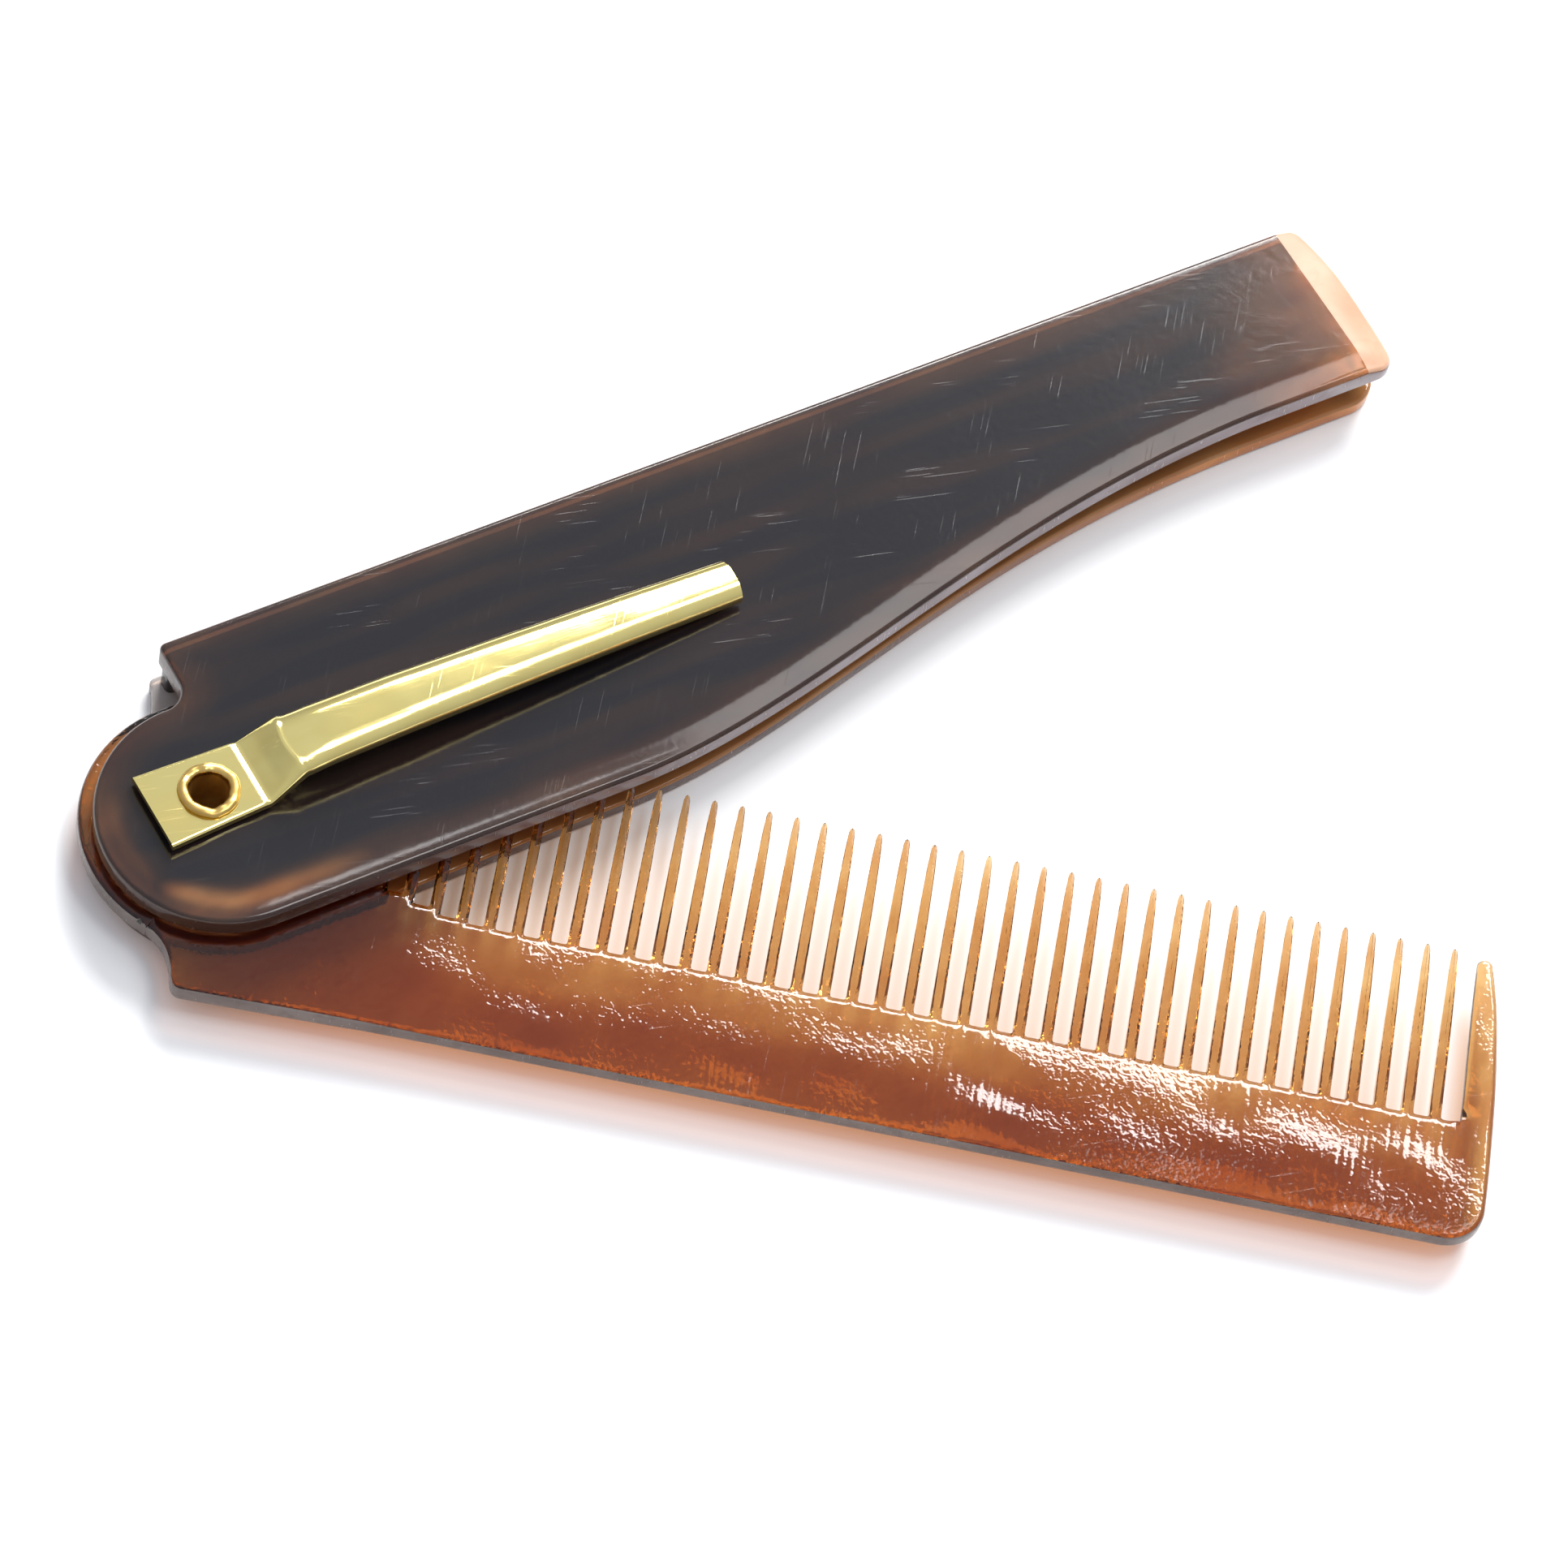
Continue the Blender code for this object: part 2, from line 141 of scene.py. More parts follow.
def distance_to(points, outline, closed=True):
    """Distance from each point to the nearest stretch of an outline."""
    a = outline if closed else outline[:-1]
    b = np.roll(outline, -1, axis=0) if closed else outline[1:]
    run = b - a
    length = (run ** 2).sum(axis=1)
    nearest = np.empty(len(points))
    for first in range(0, len(points), BATCH):
        part = points[first:first + BATCH, None, :] - a[None]
        share = np.clip((part * run[None]).sum(axis=2) / length[None], 0.0, 1.0)
        off = part - share[..., None] * run[None]
        nearest[first:first + BATCH] = np.sqrt((off ** 2).sum(axis=2).min(axis=1))
    return nearest


def inside(points, outline):
    """Which points lie inside a closed outline."""
    a, b = outline, np.roll(outline, -1, axis=0)
    rise = np.where(b[:, 1] == a[:, 1], 1e-9, b[:, 1] - a[:, 1])
    found = np.zeros(len(points), bool)
    for first in range(0, len(points), BATCH):
        x, y = points[first:first + BATCH, 0:1], points[first:first + BATCH, 1:2]
        meets_x = (b[:, 0] - a[:, 0]) * (y - a[:, 1]) / rise + a[:, 0]
        crossing = ((a[:, 1] > y) != (b[:, 1] > y)) & (x < meets_x)
        found[first:first + BATCH] = crossing.sum(axis=1) % 2 == 1
    return found


unit_circle = arc((0, 0), 1.0, 0, 350, 36)
print("the centre lies", float(distance_to(np.zeros((1, 2)), unit_circle)[0]), "from a circle of radius 1")

# %% [markdown]
# Every piece here is a mesh written out in code: rows of points joined by quads, and faces filled with
# triangles. A constrained triangulation keeps the outline, the holes and the creases as edges, which a
# plain fill of one big polygon would not. The last helper makes the object, in millimetres from the pivot,
# ties it to the body that it moves with, and hides the CAD node that it stands for.

# %% Helpers for meshes
def add_row(points, row):
    """Adds a row of points to a growing list and gives back their indices."""
    first = len(points)
    points.extend(row)
    return list(range(first, len(points)))


def raised(plan, heights):
    """Points of a plan with a height each."""
    return [(x, y, z) for (x, y), z in zip(plan, heights)]


def band(lower, upper):
    """Quads between two closed rows of vertices with the same count."""
    count = len(lower)
    return [(lower[i], lower[(i + 1) % count], upper[(i + 1) % count], upper[i]) for i in range(count)]


def walls(rows):
    """Quads between each row and the next."""
    return [quad for lower, upper in zip(rows, rows[1:]) for quad in band(lower, upper)]


def fill(points, loops, creases=()):
    """Triangles that fill the first loop and leave the others open. Loops and creases list indices."""
    edges = [pair for loop in loops for pair in zip(loop, loop[1:] + loop[:1])]
    edges += [pair for crease in creases for pair in zip(crease, crease[1:])]
    made = delaunay_2d_cdt([Vector(p) for p in points], edges, [], 2, 1e-6)
    origin = made[3]
    faces = [tuple(origin[v][0] for v in face) for face in made[2]]
    flat = np.array([tuple(p)[:2] for p in points])
    centres = np.array([flat[list(face)].mean(axis=0) for face in faces])
    keep = np.ones(len(faces), bool)
    for hole in loops[1:]:
        keep &= ~inside(centres, flat[hole])
    return [face for face, kept in zip(faces, keep) if kept]


def fill_face(points, loops, within=(), creases=()):
    """The same for points that are already in a list: loops, points within and creases are their indices."""
    used = [v for loop in loops for v in loop] + list(within)
    place = {v: i for i, v in enumerate(used)}
    loops = [[place[v] for v in loop] for loop in loops]
    creases = [[place[v] for v in crease] for crease in creases]
    faces = fill([points[v][:2] for v in used], loops, creases)
    return [tuple(used[i] for i in face) for face in faces]


print("mesh helpers ready")

# %% Helper that makes a piece
def make_piece(name, points, faces, body, node, turn=0.0, sharp=32.0):
    """A mesh from points in millimetres from the pivot. It rides on a body and stands for a CAD node."""
    work = bmesh.new()
    rotation = Matrix.Rotation(turn, 3, "Z")
    corners = [work.verts.new(pivot + rotation @ (Vector(p) * MM)) for p in points]
    for face in faces:
        work.faces.new([corners[i] for i in face])
    loose = [v for v in work.verts if not v.link_faces]
    bmesh.ops.delete(work, geom=loose, context="VERTS")
    bmesh.ops.recalc_face_normals(work, faces=work.faces)
    mesh = bpy.data.meshes.new(name)
    work.to_mesh(mesh)
    open_edges = sum(1 for e in work.edges if len(e.link_faces) != 2)
    work.free()
    mesh.shade_smooth()
    mesh.set_sharp_from_angle(angle=radians(sharp))
    piece = bpy.data.objects.new(name, mesh)
    bpy.context.scene.collection.objects.link(piece)
    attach(piece, body)
    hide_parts(node)
    print(name, len(mesh.vertices), "vertices,", len(mesh.polygons), "faces, open edges", open_edges)
    return piece


print("piece helper ready")

# %% [markdown]
# The handle is two plates with a slot between them. Their outline is a round lobe about the pivot, a
# notch that lets the blade's heel pass, a straight back and a belly that sweeps up to a narrow end.
# It could be traced as one spline, but a tangent chain of arcs, lines and two curves keeps the machined
# look, and lets both plates share it with small differences.

# %% Outline of the handle
BACK_Y = 13.07
LOBE = (0.6, -1.1)
LOBE_RADIUS = 9.05
NOTCH_RADIUS = 1.75
BACK_START_X = 2.4
BELLY_DEEP_X = 29.0
BELLY_DEEP_Y = -10.15
BELLY_SHALLOW_X = 86.0
BELLY_SHALLOW_Y = -0.62
TOP_END_X = 98.55
BOTTOM_END_X = 98.2


def plate_outline(end_x, corner, deep_y, middle, notch):
    """A plate's outline, anticlockwise, from the lobe's lowest point."""
    corner_y = BELLY_SHALLOW_Y + corner
    return joined(
        bezier((LOBE[0], BELLY_DEEP_Y), (10, BELLY_DEEP_Y), (20, deep_y), (BELLY_DEEP_X, deep_y), 40),
        bezier((BELLY_DEEP_X, deep_y), (45, deep_y + 0.15), middle, (BELLY_SHALLOW_X, BELLY_SHALLOW_Y), 110),
        arc((end_x - 0.03 - corner, corner_y), corner, -90, -8, 12),
        bezier((end_x - 0.05, corner_y - 0.14 * corner), (end_x + 0.3, 4.5),
               (end_x - 0.15, 9.5), (end_x - 1.1, 12.2), 24),
        arc((end_x - 2.1, BACK_Y - 1.0), 1.0, 15, 90, 10),
        line((end_x - 2.1, BACK_Y), (BACK_START_X + 0.5, BACK_Y), 0.8),
        notch,
        arc(LOBE, LOBE_RADIUS, 105, 270, 80),
    )


notch_y = LOBE[1] + LOBE_RADIUS + NOTCH_RADIUS
straight_notch = np.vstack((
    arc((BACK_START_X + 0.5, BACK_Y - 0.5), 0.5, 90, 180, 8),
    line((BACK_START_X, BACK_Y - 0.6), (BACK_START_X, notch_y + 0.1), 0.4),
    arc((LOBE[0] + 0.05, notch_y), NOTCH_RADIUS, 0, -90, 14),
    arc(LOBE, LOBE_RADIUS, 91, 104, 7),
))
slanted_notch = np.vstack((
    arc((BACK_START_X, BACK_Y - 0.5), 0.5, 90, 178, 8),
    bezier((1.9, 12.4), (1.2, 11.0), (0.4, 9.0), (-1.7, 7.65), 16),
))
top_outline = plate_outline(TOP_END_X, 1.67, BELLY_DEEP_Y, (62, -1.2), straight_notch)
bottom_outline = plate_outline(BOTTOM_END_X, 3.0, BELLY_DEEP_Y + 0.3, (60, -0.7), slanted_notch)
print("outline points", len(top_outline), len(bottom_outline))

# %% [markdown]
# Polishing leaves a plate a little lower near its rim, and most of all along the belly, where a soft
# shoulder catches the light. The top plate's face also leans very slightly towards the belly. A face that
# is quite flat would mirror one spot of the room and turn white all at once, which the real one doesn't.
# Its far end is planed down to a slope, whose crease is a straight line across the plate. Sculpting could
# give all this, but a function of the place and of the distance to the outline keeps it exact.

# %% Height of a plate's face
CROWN_DROP = 0.05
CROWN_WIDTH = 3.0
SHOULDER_DROP = 0.28
SHOULDER_WIDTH = 2.3
SHOULDER_FULL_Y = 4.5
SHOULDER_NONE_Y = 8.5
LEAN = 0.010
LEAN_START_Y = 9.0
SLOPE_LENGTH = 2.8
SLOPE_DROP = 0.8
SLOPE_TURN = radians(2.0)


def past_crease(points):
    """Distance of points beyond the crease of the sloped end."""
    points = np.asarray(points)
    return (points[:, 0] - (TOP_END_X - SLOPE_LENGTH)) * cos(SLOPE_TURN) + points[:, 1] * sin(SLOPE_TURN)


def plate_height(high, rim_radius, sloped):
    """A function that gives the face's height from a place and its distance to the outline."""
    def height(points, inset):
        drop = CROWN_DROP * eased(ramp(inset, CROWN_WIDTH, rim_radius))
        if sloped:
            drop = drop + SHOULDER_DROP * ramp(inset, SHOULDER_WIDTH, rim_radius) ** 2
        level = high - drop * ramp(points[:, 1], SHOULDER_NONE_Y, SHOULDER_FULL_Y)
        if sloped:
            level = level - LEAN * np.clip(LEAN_START_Y - points[:, 1], 0.0, None)
            level = level - np.clip(past_crease(points), 0.0, None) * SLOPE_DROP / SLOPE_LENGTH
        return level
    return height


print("the slope falls", SLOPE_DROP, "mm in", SLOPE_LENGTH, "mm")

# %% [markdown]
# A plate rises from a small lower rim, up its wall, over a larger upper rim and across the face. Only the
# strip of face beside the rim is curved, so that strip gets a fine net and the flat middle a coarse one.
# The crease is kept as edges of the mesh: the outline gets a point where it crosses the crease, and more
# points are laid along it. One even net as fine as that would need several times the triangles.

# %% Rows and net of a plate
FINE_STEP = 0.32
FINE_WIDTH = CROWN_WIDTH + 0.3
COARSE_STEP = 1.5
COARSE_INSET = CROWN_WIDTH + 0.9
RIM_MARGIN = 0.2
BORE_MARGIN = 0.4
CREASE_MARGIN = 0.25
CREASE_STEP = 0.4
LOWER_RIM_STEPS = 6
UPPER_RIM_STEPS = 9


def rim(radius, steps):
    """Inset and drop of each ring of a round rim, from the wall up to the face."""
    angles = np.linspace(0.0, pi / 2, steps)
    return [(radius * (1 - cos(a)), radius * (1 - sin(a))) for a in angles]


def with_crease_points(outline):
    """The same outline with a point added wherever it crosses the crease."""
    side = past_crease(outline)
    made = []
    for i, point in enumerate(outline):
        j = (i + 1) % len(outline)
        made.append(point)
        if side[i] * side[j] < 0:
            share = side[i] / (side[i] - side[j])
            made.append(point + (outline[j] - point) * share)
    return np.array(made)


def plate_rows(points, outline, low, rims, height):
    """Rings from the lower rim, up the wall and over the upper rim."""
    normals = inward(outline)
    rows = []
    for inset, drop in reversed(rim(rims[0], LOWER_RIM_STEPS)):
        ring = outline + normals * inset
        rows.append(add_row(points, [(x, y, low + drop) for x, y in ring]))
    for inset, drop in rim(rims[1], UPPER_RIM_STEPS):
        ring = outline + normals * inset
        rows.append(add_row(points, raised(ring, height(ring, np.full(len(ring), inset)) - drop)))
    return rows


def plate_net(outline, rim_radius, bore_radius, sloped):
    """Plan of the face's points: a fine net beside the rim and a coarse one in the middle."""
    fine, coarse = (net(outline.min(axis=0), outline.max(axis=0), step) for step in (FINE_STEP, COARSE_STEP))
    fine, coarse = fine[inside(fine, outline)], coarse[inside(coarse, outline)]
    depth = distance_to(fine, outline)
    fine = fine[(depth > rim_radius + RIM_MARGIN) & (depth < FINE_WIDTH)]
    coarse = coarse[distance_to(coarse, outline) > COARSE_INSET]
    grid = np.vstack((fine, coarse))
    clear = np.linalg.norm(grid, axis=1) > bore_radius + BORE_MARGIN
    if sloped:
        clear &= np.abs(past_crease(grid)) > CREASE_MARGIN
    return grid[clear]


def crease_row(points, ring, outline, height):
    """Adds points along the crease, and gives back its row from rim to rim."""
    plan = np.array([points[i][:2] for i in ring])
    start, end = (ring[i] for i in np.argsort(np.abs(past_crease(plan)))[:2])
    between = line(points[start][:2], points[end][:2], CREASE_STEP)[1:]
    heights = height(between, distance_to(between, outline))
    return [start] + add_row(points, raised(between, heights)) + [end]


print("rings on a wall:", LOWER_RIM_STEPS + UPPER_RIM_STEPS)

# %% [markdown]
# The plates are stained dark, but light still glows brown through them where they are thin: at the rim,
# at the far end, and in an arch along the lobe. That glow is painted light: how much is stored at every
# vertex as an attribute, which the material mixes into its base colour. A painted texture would do the
# same, but it needs an image. Faces on the sawn walls and on the planed slope get a material of their own,
# by their index.

# %% Painted glow and finishes of a plate
RIM_GLOW, RIM_GLOW_WIDTH = 0.15, 3.0
END_GLOW, END_GLOW_START, END_GLOW_FULL, END_GLOW_SLANT = 0.75, 84.0, 97.0, 0.35
ARCH_INSET, ARCH_WIDTH, FAR_ARCH_GLOW = 1.6, 0.7, 0.35
# a face whose normal has less of Z than this is a wall
STEEP = 0.45


def plan_of(places):
    """Plan positions in millimetres from the pivot, from places in metres."""
    return (places[:, :2] - np.array(pivot[:2])) / MM


def store_painted_glow(piece, outline):
    """Stores painted glow where light shows brown through the thin plate: rim, far end and an arch on the
    lobe.
    """
    places = np.empty(3 * len(piece.data.vertices))
    piece.data.vertices.foreach_get("co", places)
    plan = plan_of(places.reshape(-1, 3))
    x, y = plan[:, 0], plan[:, 1]
    depth = distance_to(plan, outline)
    rim_glow = RIM_GLOW * ramp(depth, RIM_GLOW_WIDTH, 0.0)
    end_glow = END_GLOW * ramp(x - END_GLOW_SLANT * (y - 6.0), END_GLOW_START, END_GLOW_FULL) ** 1.6
    arch = np.exp(-((depth - ARCH_INSET) / ARCH_WIDTH) ** 2)
    near_side = ramp(y, -4.5, -6.3) * ramp(x, 9.5, 1.5)
    far_side = FAR_ARCH_GLOW * ramp(x, -5.0, -8.0)
    glow = np.maximum.reduce((rim_glow, end_glow, arch * np.maximum(near_side, far_side)))
    stored = piece.data.attributes.new("glow", "FLOAT", "POINT")
    stored.data.foreach_set("value", glow.astype(np.float32))


def mark_faces(piece, outline, sloped):
    """Gives the sawn walls material index 1 and the planed slope at the far end index 2."""
    places = np.array([(*f.center[:2], f.normal.z) for f in piece.data.polygons])
    plan = plan_of(places)
    index = np.where((np.abs(places[:, 2]) < STEEP) & (distance_to(plan, outline) < 0.5), 1, 0)
    if sloped:
        index = np.where((places[:, 2] > 0.5) & (past_crease(plan) > 0.0), 2, index)
    piece.data.polygons.foreach_set("material_index", index.astype(np.int32))
    print(piece.name, "faces on walls and slope:", int((index == 1).sum()), int((index == 2).sum()))


# %% [markdown]
# With these helpers a plate is a short list of steps, and the same one makes both. The top plate has the
# larger upper rim, the shoulder and the slope. The bottom one is flat, and its hole is stepped, because
# the rivet's flange lies sunk in it. An edge of the top plate that bends by more than 14 degrees stays
# sharp. Shaded smooth, the crease of the slope would smear into the flat face as a white wedge.

# %% Both plates
RIVET_HOLE = 1.95
FLANGE_SEAT = 2.85
SEAT_DEPTH = 0.8
BORE_STEPS = 60


def make_plate(name, outline, low, high, rims, bore, sloped, sharp, node):
    """A plate with round rims. rims are the lower and upper radius, bore is (radius, height) up the hole."""
    if sloped:
        outline = with_crease_points(outline)
    height = plate_height(high, rims[1], sloped)
    points = []
    rows = plate_rows(points, outline, low, rims, height)
    holes = []
    for radius, z in bore:
        circle = arc((0, 0), radius, 0, 360 - 360 / BORE_STEPS, BORE_STEPS)
        holes.append(add_row(points, [(x, y, z) for x, y in circle]))
    grid = plate_net(outline, rims[1], bore[-1][0], sloped)
    within = add_row(points, raised(grid, height(grid, distance_to(grid, outline))))
    creases = [crease_row(points, rows[-1], outline, height)] if sloped else []
    for crease in creases:
        within += crease[1:-1]
    faces = walls(rows) + walls(holes)
    faces += fill_face(points, (rows[-1], holes[-1]), within, creases)
    faces += fill_face(points, (rows[0], holes[0]))
    piece = make_piece(name, points, faces, "handle", node, sharp=sharp)
    store_painted_glow(piece, outline)
    mark_faces(piece, outline, sloped)
    return piece


top_plate = make_plate("top_plate", top_outline, slot_roof, top_face, (0.12, 0.45),
                       ((RIVET_HOLE, slot_roof), (RIVET_HOLE, top_face)), True, 14.0,
                       "handle_top_plate")
bottom_plate = make_plate("bottom_plate", bottom_outline, 0.0, bottom_face, (0.3, 0.3),
                          ((FLANGE_SEAT, 0.0), (FLANGE_SEAT, SEAT_DEPTH), (RIVET_HOLE, SEAT_DEPTH),
                           (RIVET_HOLE, bottom_face)), False, 30.0,
                          "handle_bottom_plate")

# %% [markdown]
# A thin strip closes the slot along the back, so that the teeth can't come out behind. Such a strip is
# glued between the plates. Here it is a plain bar whose near corners are rounded, and it stays just clear
# of both plates, because two clear plastics that share a face would render as a dark mess.

# %% Strip along the back
STRIP_GAP = 0.03
STRIP_START_X, STRIP_END_X = 3.1, 96.6
STRIP_INNER_Y, STRIP_OUTER_Y = 11.3, 12.75
STRIP_CORNER = 0.5
strip_outline = joined(
    line((STRIP_START_X, STRIP_INNER_Y), (STRIP_END_X, STRIP_INNER_Y), 2.0),
    line((STRIP_END_X, STRIP_INNER_Y), (STRIP_END_X - 0.6, STRIP_OUTER_Y), 0.3),
    line((STRIP_END_X - 0.6, STRIP_OUTER_Y), (STRIP_START_X, STRIP_OUTER_Y), 2.0),
    arc((STRIP_START_X, STRIP_OUTER_Y - STRIP_CORNER), STRIP_CORNER, 90, 180, 6),
    arc((STRIP_START_X, STRIP_INNER_Y + STRIP_CORNER), STRIP_CORNER, 180, 270, 6),
)
points = []
strip_levels = (bottom_face + STRIP_GAP, slot_roof - STRIP_GAP)
rows = [add_row(points, [(x, y, z) for x, y in strip_outline]) for z in strip_levels]
faces = walls(rows) + fill_face(points, rows[:1]) + fill_face(points, rows[1:])
strip = make_piece("back_strip", points, faces, "handle", "spine_strip")

# %% [markdown]
# The blade is one piece of plastic: a lens-shaped back, thirty-nine fine teeth with a ridge down each
# face, and a broad guard tooth. Joining separate teeth with Booleans would leave seams that clear
# plastic shows. Both faces are mirror images, so the blade is made as a height over its plan instead:
# the back and the teeth each have a height, the larger one wins, and the same net is used for each face.
# First come the sizes of the teeth. They are sawn, so they narrow only slowly for most of their length,
# and then come to a rounded tip. The first gaps at the tang are cut less deep.

# %% Sizes of the teeth
TOOTH_PITCH = 2.0
TOOTH_COUNT = 39
FIRST_TOOTH_X = 13.14
ROOT_Y = -4.25
ROOT_RISE = (2.1, 1.4, 0.75, 0.25, 0.05)
TANG_SIDE_X = 11.9
GUARD_INNER_X = 91.05
# height up the tooth, half width, half thickness at the ridge, half thickness at the sides
TOOTH_STATIONS = np.array((
    (-5.60, 0.42, 0.58, 0.46),
    (-4.10, 0.42, 0.60, 0.44),
    (-2.65, 0.42, 0.66, 0.40),
    (3.80, 0.37, 0.66, 0.32),
    (8.00, 0.30, 0.50, 0.24),
    (9.65, 0.22, 0.38, 0.18),
    (10.02, 0.15, 0.28, 0.13),
    (10.15, 0.04, 0.16, 0.08),
))
TOOTH_ROWS = np.array((-3.6, -2.65, -1.5, -0.3, 1.0, 2.4, 3.8, 5.2, 6.6, 8.0,
                       8.9, 9.65, 9.86, 10.02, 10.1, 10.15))


def tooth_x(index):
    """Middle of a fine tooth."""
    return FIRST_TOOTH_X + TOOTH_PITCH * index


def tooth_half(y):
    """Half width of a fine tooth at a height."""
    return np.interp(y, TOOTH_STATIONS[:, 0], TOOTH_STATIONS[:, 1])


def gap_foot(gap):
    """Height of the foot of a gap. Gap 0 lies beside the tang and the last one beside the guard tooth."""
    return ROOT_Y + (ROOT_RISE[gap] if 0 <= gap < len(ROOT_RISE) else 0.0)


def gap_sides(gap):
    """Where a gap starts and ends at its foot."""
    left = tooth_x(gap - 1) + tooth_half(ROOT_Y) if gap else TANG_SIDE_X
    right = GUARD_INNER_X if gap == TOOTH_COUNT else tooth_x(gap) - tooth_half(ROOT_Y)
    return left, right


print("teeth from", tooth_x(0), "to", tooth_x(TOOTH_COUNT - 1), "mm from the pivot")

# %% [markdown]
# The blade's outline runs round the tang, down its heel, along the back, up the guard tooth, and then
# back over every gap and tooth. It could be one long list of points. Short functions for a gap and for a
# tooth keep all forty gaps alike, and leave only the curves of the heel and the guard to be drawn.

# %% Outline of the blade
SPINE_Y = -13.93
HEEL_Y = -14.24
BLADE_END_X = 93.47
END_CORNER = 2.9
GUARD_TIP_Y = 9.68
TANG = (1.3, -0.1)
TANG_RADIUS = 10.3
TANG_START_DROP = 1.9
TANG_START_TURN = 8.0
TANG_END = 249.0
GAP_CORNER = 0.2
FIRST_ROW_ABOVE_FOOT = 0.35


def gap_bottom(gap):
    """The foot of a gap with its round corners."""
    (left, right), foot = gap_sides(gap), gap_foot(gap)
    return np.vstack((
        arc((right - GAP_CORNER, foot + GAP_CORNER), GAP_CORNER, 0, -90, 4),
        line((right - 0.3, foot), (left + 0.25, foot), 0.2),
        arc((left + GAP_CORNER, foot + GAP_CORNER), GAP_CORNER, 270, 180, 4),
    ))


def tooth_sides(index):
    """Both sides of a fine tooth, up the far one and down the near one."""
    x = tooth_x(index)
    up = TOOTH_ROWS[TOOTH_ROWS > gap_foot(index + 1) + FIRST_ROW_ABOVE_FOOT]
    down = TOOTH_ROWS[TOOTH_ROWS > gap_foot(index) + FIRST_ROW_ABOVE_FOOT][::-1]
    far = np.column_stack((x + tooth_half(up), up))
    near = np.column_stack((x - tooth_half(down), down))
    return np.vstack((far, near))


heel = np.vstack((
    bezier((-2.4, -9.7), (-0.9, -10.6), (-0.5, -11.6), (-0.15, -12.6), 10),
    bezier((-0.12, -12.75), (0.05, -13.5), (0.15, -14.2), (0.9, HEEL_Y), 9),
))
guard = np.vstack((
    bezier((BLADE_END_X, SPINE_Y + END_CORNER), (93.5, -6.0), (93.3, -1.0), (93.06, 1.5), 22),
    bezier((93.04, 1.7), (92.85, 4.0), (92.7, 6.0), (92.02, 9.0), 20),
    arc((91.42, GUARD_TIP_Y - 0.6), 0.6, 8, 165, 14),
    bezier((90.83, 8.9), (90.8, 6.0), (90.9, 2.0), (GUARD_INNER_X, ROOT_Y + 0.3), 26),
))
tang_start = np.degrees(atan2(-TANG_START_DROP, sqrt(TANG_RADIUS ** 2 - TANG_START_DROP ** 2)))
rimmed = np.vstack((
    arc(TANG, TANG_RADIUS, tang_start + TANG_START_TURN, TANG_END, 110),
    heel,
    line((1.1, HEEL_Y), (14.0, SPINE_Y), 0.5),
    line((14.0, SPINE_Y), (BLADE_END_X - END_CORNER, SPINE_Y), 0.6),
    arc((BLADE_END_X - END_CORNER, SPINE_Y + END_CORNER), END_CORNER, -90, -3, 20),
    guard,
))
toothed = [gap_bottom(TOOTH_COUNT)]
for tooth in reversed(range(TOOTH_COUNT)):
    toothed += [tooth_sides(tooth), gap_bottom(tooth)]
blade_outline = joined(rimmed, *toothed)
print("blade outline", len(blade_outline), "points")

# %% [markdown]
# The back of the blade is thickest near its spine and thins towards the teeth. Its rim is rounded by
# polishing, each gap ends in a small bevel, and the polishing wheel leaves slow waves that break up what
# the blade mirrors. Waves made only in the material would be missing from the mesh itself, so the larger
# ones are real shape. They are a sum of a few sines, which needs no random numbers.

# %% Height of the blade's back
BLADE_HALF = (blade_high - blade_low) / 2
BLADE_RIM_WIDTH = 0.42
BLADE_RIM_DROP = 0.45
LENS_TOP_Y = -11.3
LENS_START_X, LENS_FULL_X = 11.0, 19.0
ROOT_DROP = 0.27
SPINE_DROP = 0.08
GUARD_THINNING = 0.16
FOOT_BEVEL_WIDTH = 0.5
FOOT_BEVEL_DROP = 0.20
FOOT_ROUND = 0.21
WAVE_HEIGHT = 0.075
FAR = 99.0
foot_starts = np.array([(gap_sides(gap)[0], gap_foot(gap)) for gap in range(TOOTH_COUNT + 1)])
foot_ends = np.array([(gap_sides(gap)[1], gap_foot(gap)) for gap in range(TOOTH_COUNT + 1)])


def nearest_gap(x):
    """Number of the gap nearest to x."""
    return np.clip(np.round((x - FIRST_TOOTH_X) / TOOTH_PITCH + 0.5).astype(int), 0, TOOTH_COUNT)


def distance_to_feet(points):
    """Distance from each point to the foot of the nearest gap. Above the foot only x counts."""
    gap = nearest_gap(points[:, 0])
    nearest = np.full(len(points), FAR)
    for step in (-1, 0, 1):
        index = np.clip(gap + step, 0, TOOTH_COUNT)
        start, run = foot_starts[index], foot_ends[index] - foot_starts[index]
        share = np.clip(((points - start) * run).sum(axis=1) / (run ** 2).sum(axis=1), 0.0, 1.0)
        off = points - start - share[:, None] * run
        off[:, 1] = np.minimum(off[:, 1], 0.0)
        nearest = np.minimum(nearest, np.sqrt((off ** 2).sum(axis=1)))
    return nearest


def gap_floor(x):
    """Height up to which the back reaches at x, or far above where there is no gap."""
    beside = (x > GUARD_INNER_X - 0.35) | (x < TANG_SIDE_X + 0.3)
    return np.where(beside, FAR, foot_starts[nearest_gap(x), 1] + FOOT_ROUND)


def polishing_waves(x, y):
    """Slow uneven waves, from minus one to one, longer along the blade than across it."""
    total = np.sin(0.21 * x + 0.86 * y + 0.9 * np.sin(0.31 * y + 0.16 * x))
    total += np.sin(0.17 * x - 1.20 * y + 1.7 + 0.9 * np.sin(0.25 * x))
    total += 0.5 * np.sin(0.72 * x + 1.05 * y + 3.1 + 0.7 * np.sin(0.7 * y))
    return total / 2.5


